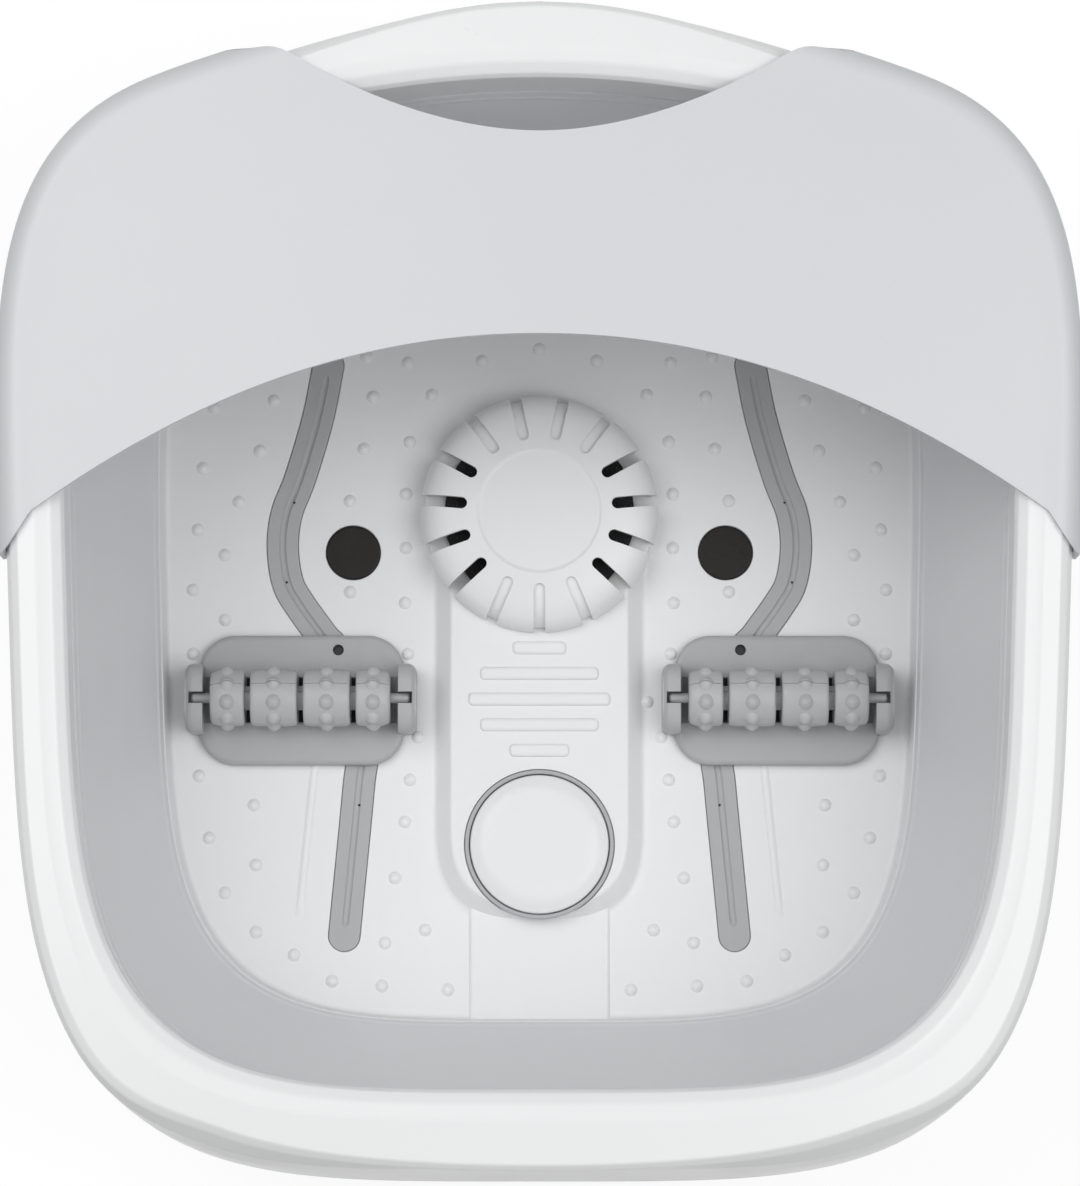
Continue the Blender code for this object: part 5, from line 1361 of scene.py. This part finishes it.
class FOOTSPA_OT_discs(FootSpaBuilder, bpy.types.Operator):
    """Build the two dark discs in the footbed"""

    bl_idname = "footspa.discs"
    bl_label = "Discs"

    def build(self):
        profile = [(0.0108, 0.0608), (0.0108, 0.0624), (0.0100, 0.0626), (0.0005, 0.0627)]
        profile = softened(profile, [0.0, 0.0004, 0.0004, 0.0])
        for side, label in SIDES:
            disc = turned(profile, 96, (side * DISC_X, DISC_Y))
            name, node = "disc_finished_" + label, "magnet_disc_" + label
            add_piece(name, disc, "base", "disc", node)


class FOOTSPA_OT_button(FootSpaBuilder, bpy.types.Operator):
    """Build the foot button, its seal and its spring"""

    bl_idname = "footspa.button"
    bl_label = "Foot button"

    def spring(self):
        """The return spring, a wire coil of four turns."""
        low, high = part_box("button_spring")
        wire = 0.0005
        coil = (high[0] - low[0]) / 2 - wire
        bottom, top = low[2] + wire, high[2] - wire
        rings = []
        for step in range(161):
            turn = 8 * math.pi * step / 160
            rise = bottom + (top - bottom) * step / 160
            ring = []
            for side in range(8):
                reach, height = polar(wire, 2 * math.pi * side / 8, coil, rise)
                ring.append((*polar(reach, turn, 0.0, BUTTON_Y), height))
            rings.append(ring)
        spring = add_piece("spring_finished", skin(rings), "base", "steel", "button_spring")
        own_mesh(spring)

    def build(self):
        place = (0, BUTTON_Y)
        top = 0.0734
        profile = [
            (0.0040, 0.0471), (0.0040, 0.0662), (0.0272, 0.0662), (0.0275, 0.0665),
            (0.0275, 0.0709), (0.0226, top - 0.0002), (0.0190, top), (0.0005, top),
        ]
        radius = [0.0, 0.0006, 0.0004, 0.0004, 0.0009, 0.0022, 0.002, 0.0]
        button = turned(softened(profile, radius, 5), 128, place)
        add_piece("button_finished", button, "button", "footbed", "foot_button")
        seal = [(0.0279, 0.0668), (0.0296, 0.0668), (0.0296, 0.0704)]
        seal += [(0.0292, 0.0708), (0.0283, 0.0708), (0.0279, 0.0704)]
        ring = turned(softened(seal, 0.0003, 3, True), 128, place, closed=True)
        add_piece("seal_finished", ring, "base", "seal", "button_seal")
        self.spring()
        wear_finish("button_switch", "dark")


class FOOTSPA_OT_cradles(FootSpaBuilder, bpy.types.Operator):
    """Build the roller cradles, the axles and the painted shade in the cradles' gaps and holes"""

    bl_idname = "footspa.cradles"
    bl_label = "Roller cradles"

    def ear(self, end, low, crown):
        """An upright for one end of the axle, rounded at its top and its outer corners."""
        half, foot, shoulder = 0.0137, low + 0.0003, crown - 0.0034
        outline = [
            (-half, foot), (half, foot), (half, shoulder), (half - 0.0042, crown),
            (0.0042 - half, crown), (-half, shoulder),
        ]
        outline = softened(outline, [0.0001, 0.0001, 0.003, 0.004, 0.004, 0.003], 6, True)
        slices = [(0.0385, 0.0006), (0.0387, 0.0002), (0.0391, 0.0)]
        for step in range(8):
            turn = math.pi / 2 * step / 7
            slices.append((0.0424 + 0.0034 * math.sin(turn), 0.0034 * (1 - math.cos(turn))))
        rings = []
        for x, inset in slices:
            ring = []
            for y, z in outline:
                drop = min(inset, 0.0014) * (z - low) / (crown - low)
                ring.append((end * x, y * (1 - inset / half), z - drop))
            rings.append(ring)
        return skin(rings)

    def openings(self, low):
        """Painted shade: dark bands in the trough under the roller's necks, and a dark disc low in
        the plate's hole, where only shade falls.
        """
        half, near, far = 0.0011, 0.0141, 0.0149
        shapes = [turned([(0.0021, low + 0.0002), (0.0021, low + 0.0012)], 32, PLATE_HOLE)]
        for x in NECK_PLACES:
            rings = []
            for step in range(25):
                turn = math.radians(-38 + 76 * step / 24)
                ring = []
                for across, reach in ((-half, near), (half, near), (half, far), (-half, far)):
                    y, z = reach * math.sin(turn), ROLLER_AXIS - reach * math.cos(turn)
                    ring.append((x + across, y, z))
                rings.append(ring)
            shapes.append(skin(rings))
        return merged(shapes)

    def cradle(self, low, high, lying):
        """A plate with a trough, and an ear with an open seat at each end."""
        outline = rounded_box(0.0408, 0.0258, 0.0145, 24)
        plate = pillow(outline, low, low + 0.0046, edge=0.0018, steps=6, reach=0.0022)
        trough = turned([(0.0143, -0.0383), (0.0143, 0.0383)], 128)
        trough.transform(lying)
        hole = turned([(0.0022, low - 0.002), (0.0022, low + 0.008)], 48, PLATE_HOLE)
        half, bottom, top = 0.0023, ROLLER_AXIS - 0.0023, ROLLER_AXIS + 0.0200
        pockets = [
            block((start, -half, bottom), (end, half, top))
            for start, end in ((-0.0442, -0.0370), (0.0370, 0.0442))
        ]
        return reckoned(
            plate,
            (CUT, trough),
            (JOIN, merged([self.ear(end, low, high) for end in (-1, 1)])),
            (CUT, merged(pockets)),
            (CUT, hole),
            bevel=0.00035,
        )

    def axle(self, label, place):
        low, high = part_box("roller_axle_" + label)
        half = (high.x - low.x) / 2
        chamfer = half - 0.0006
        profile = [(0.0012, -half), (0.0020, -chamfer), (0.0020, chamfer), (0.0012, half)]
        axle = turned(softened(profile, 0.0004, 3), 32)
        axle.transform(place)
        name, body, node = "axle_finished_" + label, label + "_roller_axle", "roller_axle_" + label
        add_piece(name, axle, body, "roller", node)

    def build(self):
        low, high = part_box("roller_cradle_right")
        lying = Matrix.Translation((0, 0, ROLLER_AXIS)) @ Matrix.Rotation(math.pi / 2, 4, "Y")
        for side, label in SIDES:
            place = Matrix.Translation((side * CRADLE_X, CRADLE_Y, 0))
            flip = Matrix.Diagonal((side, 1, 1, 1))
            cradle = self.cradle(low.z, high.z, lying)
            # painted shade: dark bands and a dark disc set where the trough gaps and the plate's
            # hole fall into shade
            openings = self.openings(low.z)
            for shape in (cradle, openings):
                shape.transform(place @ flip)
                bmesh.ops.recalc_face_normals(shape, faces=shape.faces)
            name, node = "cradle_finished_" + label, "roller_cradle_" + label
            add_piece(name, cradle, "base", "fittings", node)
            add_piece("cradle_openings_" + label, openings, "base", "dark")
            self.axle(label, place @ lying)


class FOOTSPA_OT_rollers(FootSpaBuilder, bpy.types.Operator):
    """Build the nubbed rollers, each in two half shells"""

    bl_idname = "footspa.rollers"
    bl_label = "Rollers"

    def drums(self):
        """Four drums in a row with narrow necks between them."""
        radius = sizes().roller_radius
        end_radius, neck_radius, shoulder = 0.0060, 0.0048, 0.0035
        profile, rounding = [], []
        for index, (start, end) in enumerate(DRUMS):
            first, last = index == 0, index == len(DRUMS) - 1
            profile += [
                (end_radius if first else neck_radius, start),
                (radius - (0.0014 if first else 0.0004), start),
                (radius, start + shoulder),
                (radius, end - shoulder),
                (radius - (0.0014 if last else 0.0004), end),
                (end_radius if last else neck_radius, end),
            ]
            rounding += [0.0003, 0.0014, 0.002, 0.002, 0.0014, 0.0003]
        return turned(softened(profile, rounding, 5), 96)

    def nubs(self):
        """The nubs round each drum."""
        s = sizes()
        places, facings = [], []
        for start, end in DRUMS:
            for index in range(s.roller_nubs):
                out = polar(1.0, 2 * math.pi * (index + 0.5) / s.roller_nubs)
                reach = s.roller_radius - 0.0006
                places.append((out[0] * reach, out[1] * reach, (start + end) / 2))
                facings.append((*out, 0))
        return copies(nub_shape(0.0033, 0.0025, 0.0010), places, facings, "roller")

    def build(self):
        far, wide, gap = 0.05, 0.02, 0.00012
        for side, label in SIDES:
            place = (
                Matrix.Translation((side * CRADLE_X, CRADLE_Y, ROLLER_AXIS))
                @ Matrix.Rotation(math.radians(ROLLER_TURN), 4, "X")
                @ Matrix.Rotation(math.pi / 2, 4, "Y")
            )
            for word, low_y, high_y in (("front", -wide, gap), ("rear", -gap, wide)):
                shell = reckoned(
                    self.drums(),
                    (JOIN, self.nubs()),
                    (CUT, turned([(0.0024, -far), (0.0024, far)], 32)),
                    (CUT, block((-wide, low_y, -far), (wide, high_y, far))),
                )
                shell.transform(place)
                name, node = f"roller_{word}_finished_{label}", f"roller_{word}_shell_{label}"
                add_piece(name, shell, label + "_roller", "roller", node)


class FOOTSPA_OT_feet(FootSpaBuilder, bpy.types.Operator):
    """Set the rubber feet and the screws under the base"""

    bl_idname = "footspa.feet"
    bl_label = "Feet and screws"

    def feet(self):
        profile = [(0.0110, 0.0047), (0.0110, 0.0010), (0.0100, 0.0), (0.0076, 0.0)]
        profile += [(0.0072, 0.0005), (0.0062, 0.0005), (0.0058, 0.0), (0.0005, 0.0)]
        foot = turned(softened(profile, 0.0003, 3), 64)
        return upright_copies(foot, mirrored(FOOT_PLACES), 0.0, "rubber")

    def screws(self):
        """Screws with a cross in the head."""
        profile = [(0.0014, 0.0154), (0.0014, 0.0014), (0.0034, 0.0014)]
        profile += [(0.0034, 0.0005), (0.0029, 0.0), (0.0003, 0.0)]
        screw = turned(softened(profile, 0.0003, 3), 32)
        wide, narrow, low, high = 0.0019, 0.00035, -0.001, 0.0008
        for x, y in ((wide, narrow), (narrow, wide)):
            screw = reckoned(screw, (CUT, block((-x, -y, low), (x, y, high))))
        return upright_copies(screw, mirrored(SCREW_PLACES), SCREW_LOW, "steel")

    def build(self):
        sides = ("left", "right")
        nodes = [f"foot_{side}_{end}" for side in sides for end in ("back", "front")]
        add_piece("feet_finished", self.feet(), "base", "rubber", *nodes)
        nodes = [f"screw_{side}_{end}" for side in sides for end in ("back", "middle", "front")]
        add_piece("screws_finished", self.screws(), "base", "steel", *nodes)


def at_gland(shape):
    """An upright shape, moved to lie in the gland's place in the back of the base."""
    lean = Matrix.Rotation(-math.pi / 2 - GLAND_LEAN, 4, "X")
    shape.transform(Matrix.Translation(GLAND_PLACE) @ lean)
    return shape


class FOOTSPA_OT_gland(FootSpaBuilder, bpy.types.Operator):
    """Build the cable gland in the back of the base"""

    bl_idname = "footspa.gland"
    bl_label = "Cable gland"

    def build(self):
        profile = [(0.0036, -0.0108), (0.0075, -0.0108), (0.0075, 0.0003), (0.0104, 0.0003)]
        profile += [(0.0105, 0.0030), (0.0090, 0.0034), (0.0080, 0.0062), (0.0036, 0.0062)]
        gland = at_gland(turned(softened(profile, 0.0005, 3, True), 64, closed=True))
        add_piece("gland_finished", gland, "base", "rubber", "cable_gland")


class FOOTSPA_OT_inner_parts(FootSpaBuilder, bpy.types.Operator):
    """Finish the parts inside the base, which keep their CAD shapes"""

    bl_idname = "footspa.inner_parts"
    bl_label = "Inner parts"

    def build(self):
        finishes = {
            "heater": "heating_element",
            "steel": "blower_motor vibration_motor vibration_weight",
            "board": "control_board",
            "shell": "vibration_mount",
            "fittings": "lead_terminal",
            "dark": "thermostat blower_housing blower_lid blower_impeller air_hose_left"
            " air_hose_right power_block inner_mains_lead",
        }
        for key, names in finishes.items():
            for name in names.split():
                wear_finish(name, key)


class FOOTSPA_OT_stage(FootSpaBuilder, bpy.types.Operator):
    """Set the floor, the lamps and the camera"""

    bl_idname = "footspa.stage"
    bl_label = "Stage"

    def floor(self):
        """A plain floor that the camera, mirrors and glass see as near white."""
        far = 4
        outline = [(-far, -far), (far, -far), (far, far), (-far, far)]
        mesh = mesh_of(slab(outline, -0.02, 0.0), "studio_floor")
        floor = linked("studio_floor", mesh)
        material = bpy.data.materials.new("white studio floor")
        material.use_nodes = True
        tree = material.node_tree
        shader = tree.nodes["Principled BSDF"]
        grey, glow = 0.18, 0.84
        shader.inputs["Base Color"].default_value = (grey, grey, grey, 1.0)
        shader.inputs["Roughness"].default_value = 0.9
        shader.inputs["Emission Color"].default_value = (1.0, 1.0, 1.0, 1.0)
        paths = tree.nodes.new("ShaderNodeLightPath")
        seen = Wire(tree, paths.outputs["Is Camera Ray"])
        for label in ("Is Glossy Ray", "Is Transmission Ray"):
            seen = seen.math("MAXIMUM", Wire(tree, paths.outputs[label]))
        (seen * glow).into(shader.inputs["Emission Strength"])
        mesh.materials.append(material)

    def world(self):
        """Even soft light, white where the camera sees it."""
        world = bpy.data.worlds.new("studio")
        bpy.context.scene.world = world
        world.use_nodes = True
        tree = world.node_tree
        back = tree.nodes["Background"]
        paths = tree.nodes.new("ShaderNodeLightPath")
        light = 0.46
        seen = Wire(tree, paths.outputs["Is Camera Ray"])
        (seen * (1.0 - light) + light).into(back.inputs["Strength"])
        back.inputs["Color"].default_value = (1.0, 1.0, 1.0, 1.0)

    def lamp(self, name, place, power):
        """A round softbox that shines on the middle of the tub."""
        data = bpy.data.lights.new(name, "AREA")
        data.shape = "DISK"
        data.size = SOFTBOX_SIZE
        data.energy = power
        lamp = linked(name, data)
        lamp.location = place
        aim = Vector(SOFTBOX_TARGET) - Vector(place)
        lamp.rotation_euler = aim.to_track_quat("-Z", "Y").to_euler()

    def camera(self):
        """The photograph's view, nearly straight down with the front of the tub at the bottom."""
        lean = math.radians(5)
        distance = 2.2500
        target = Vector((-0.0002, -0.0020, 0.1500))
        width, height = 1080, 1186
        focal_length = 5859
        centre_x, centre_y = 538.9, 600.5
        data = bpy.data.cameras.new("photo_camera")
        data.sensor_fit = "VERTICAL"
        data.sensor_height = 36.0
        data.lens = focal_length / height * data.sensor_height
        data.shift_x = (width / 2 - centre_x) / height
        data.shift_y = (centre_y - height / 2) / height
        data.clip_end = 20.0
        camera = linked("photo_camera", data)
        camera.location = target + Vector((0, -math.sin(lean), math.cos(lean))) * distance
        camera.rotation_euler = (lean, 0, 0)
        bpy.context.scene.camera = camera

    def build(self):
        self.floor()
        self.world()
        self.lamp("right_softbox", (1.0, -0.2, 2.1), 17.0)
        self.lamp("left_softbox", (-0.9, 0.5, 2.1), 18.0)
        self.camera()
        bpy.context.scene.view_settings.view_transform = "Standard"


class FOOTSPA_PT_panel(bpy.types.Panel):
    """Lists the steps that build the foot spa"""

    bl_label = "Foot Spa"
    bl_space_type = "VIEW_3D"
    bl_region_type = "UI"
    bl_category = "Foot Spa"

    def draw(self, context):
        for operator in OPERATORS:
            self.layout.operator(operator.bl_idname)
        for group in (context.scene.foot_spa_sizes, context.scene.foot_spa_colours):
            for name in group.__annotations__:
                self.layout.prop(group, name)


OPERATORS = (
    FOOTSPA_OT_stage,
    FOOTSPA_OT_base,
    FOOTSPA_OT_footbed,
    FOOTSPA_OT_nubs,
    FOOTSPA_OT_soft_wall,
    FOOTSPA_OT_rim,
    FOOTSPA_OT_guard,
    FOOTSPA_OT_dome,
    FOOTSPA_OT_strips,
    FOOTSPA_OT_discs,
    FOOTSPA_OT_button,
    FOOTSPA_OT_cradles,
    FOOTSPA_OT_rollers,
    FOOTSPA_OT_feet,
    FOOTSPA_OT_gland,
    FOOTSPA_OT_inner_parts,
)
CLASSES = (FootSpaSizes, FootSpaColours, *OPERATORS, FOOTSPA_PT_panel)


def register():
    for item in CLASSES:
        bpy.utils.register_class(item)
    bpy.types.Scene.foot_spa_sizes = PointerProperty(type=FootSpaSizes)
    bpy.types.Scene.foot_spa_colours = PointerProperty(type=FootSpaColours)


def unregister():
    del bpy.types.Scene.foot_spa_colours
    del bpy.types.Scene.foot_spa_sizes
    for item in reversed(CLASSES):
        bpy.utils.unregister_class(item)


def main():
    register()
    for operator in OPERATORS:
        group, name = operator.bl_idname.split(".")
        getattr(getattr(bpy.ops, group), name)()


if __name__ == "__main__":
    main()
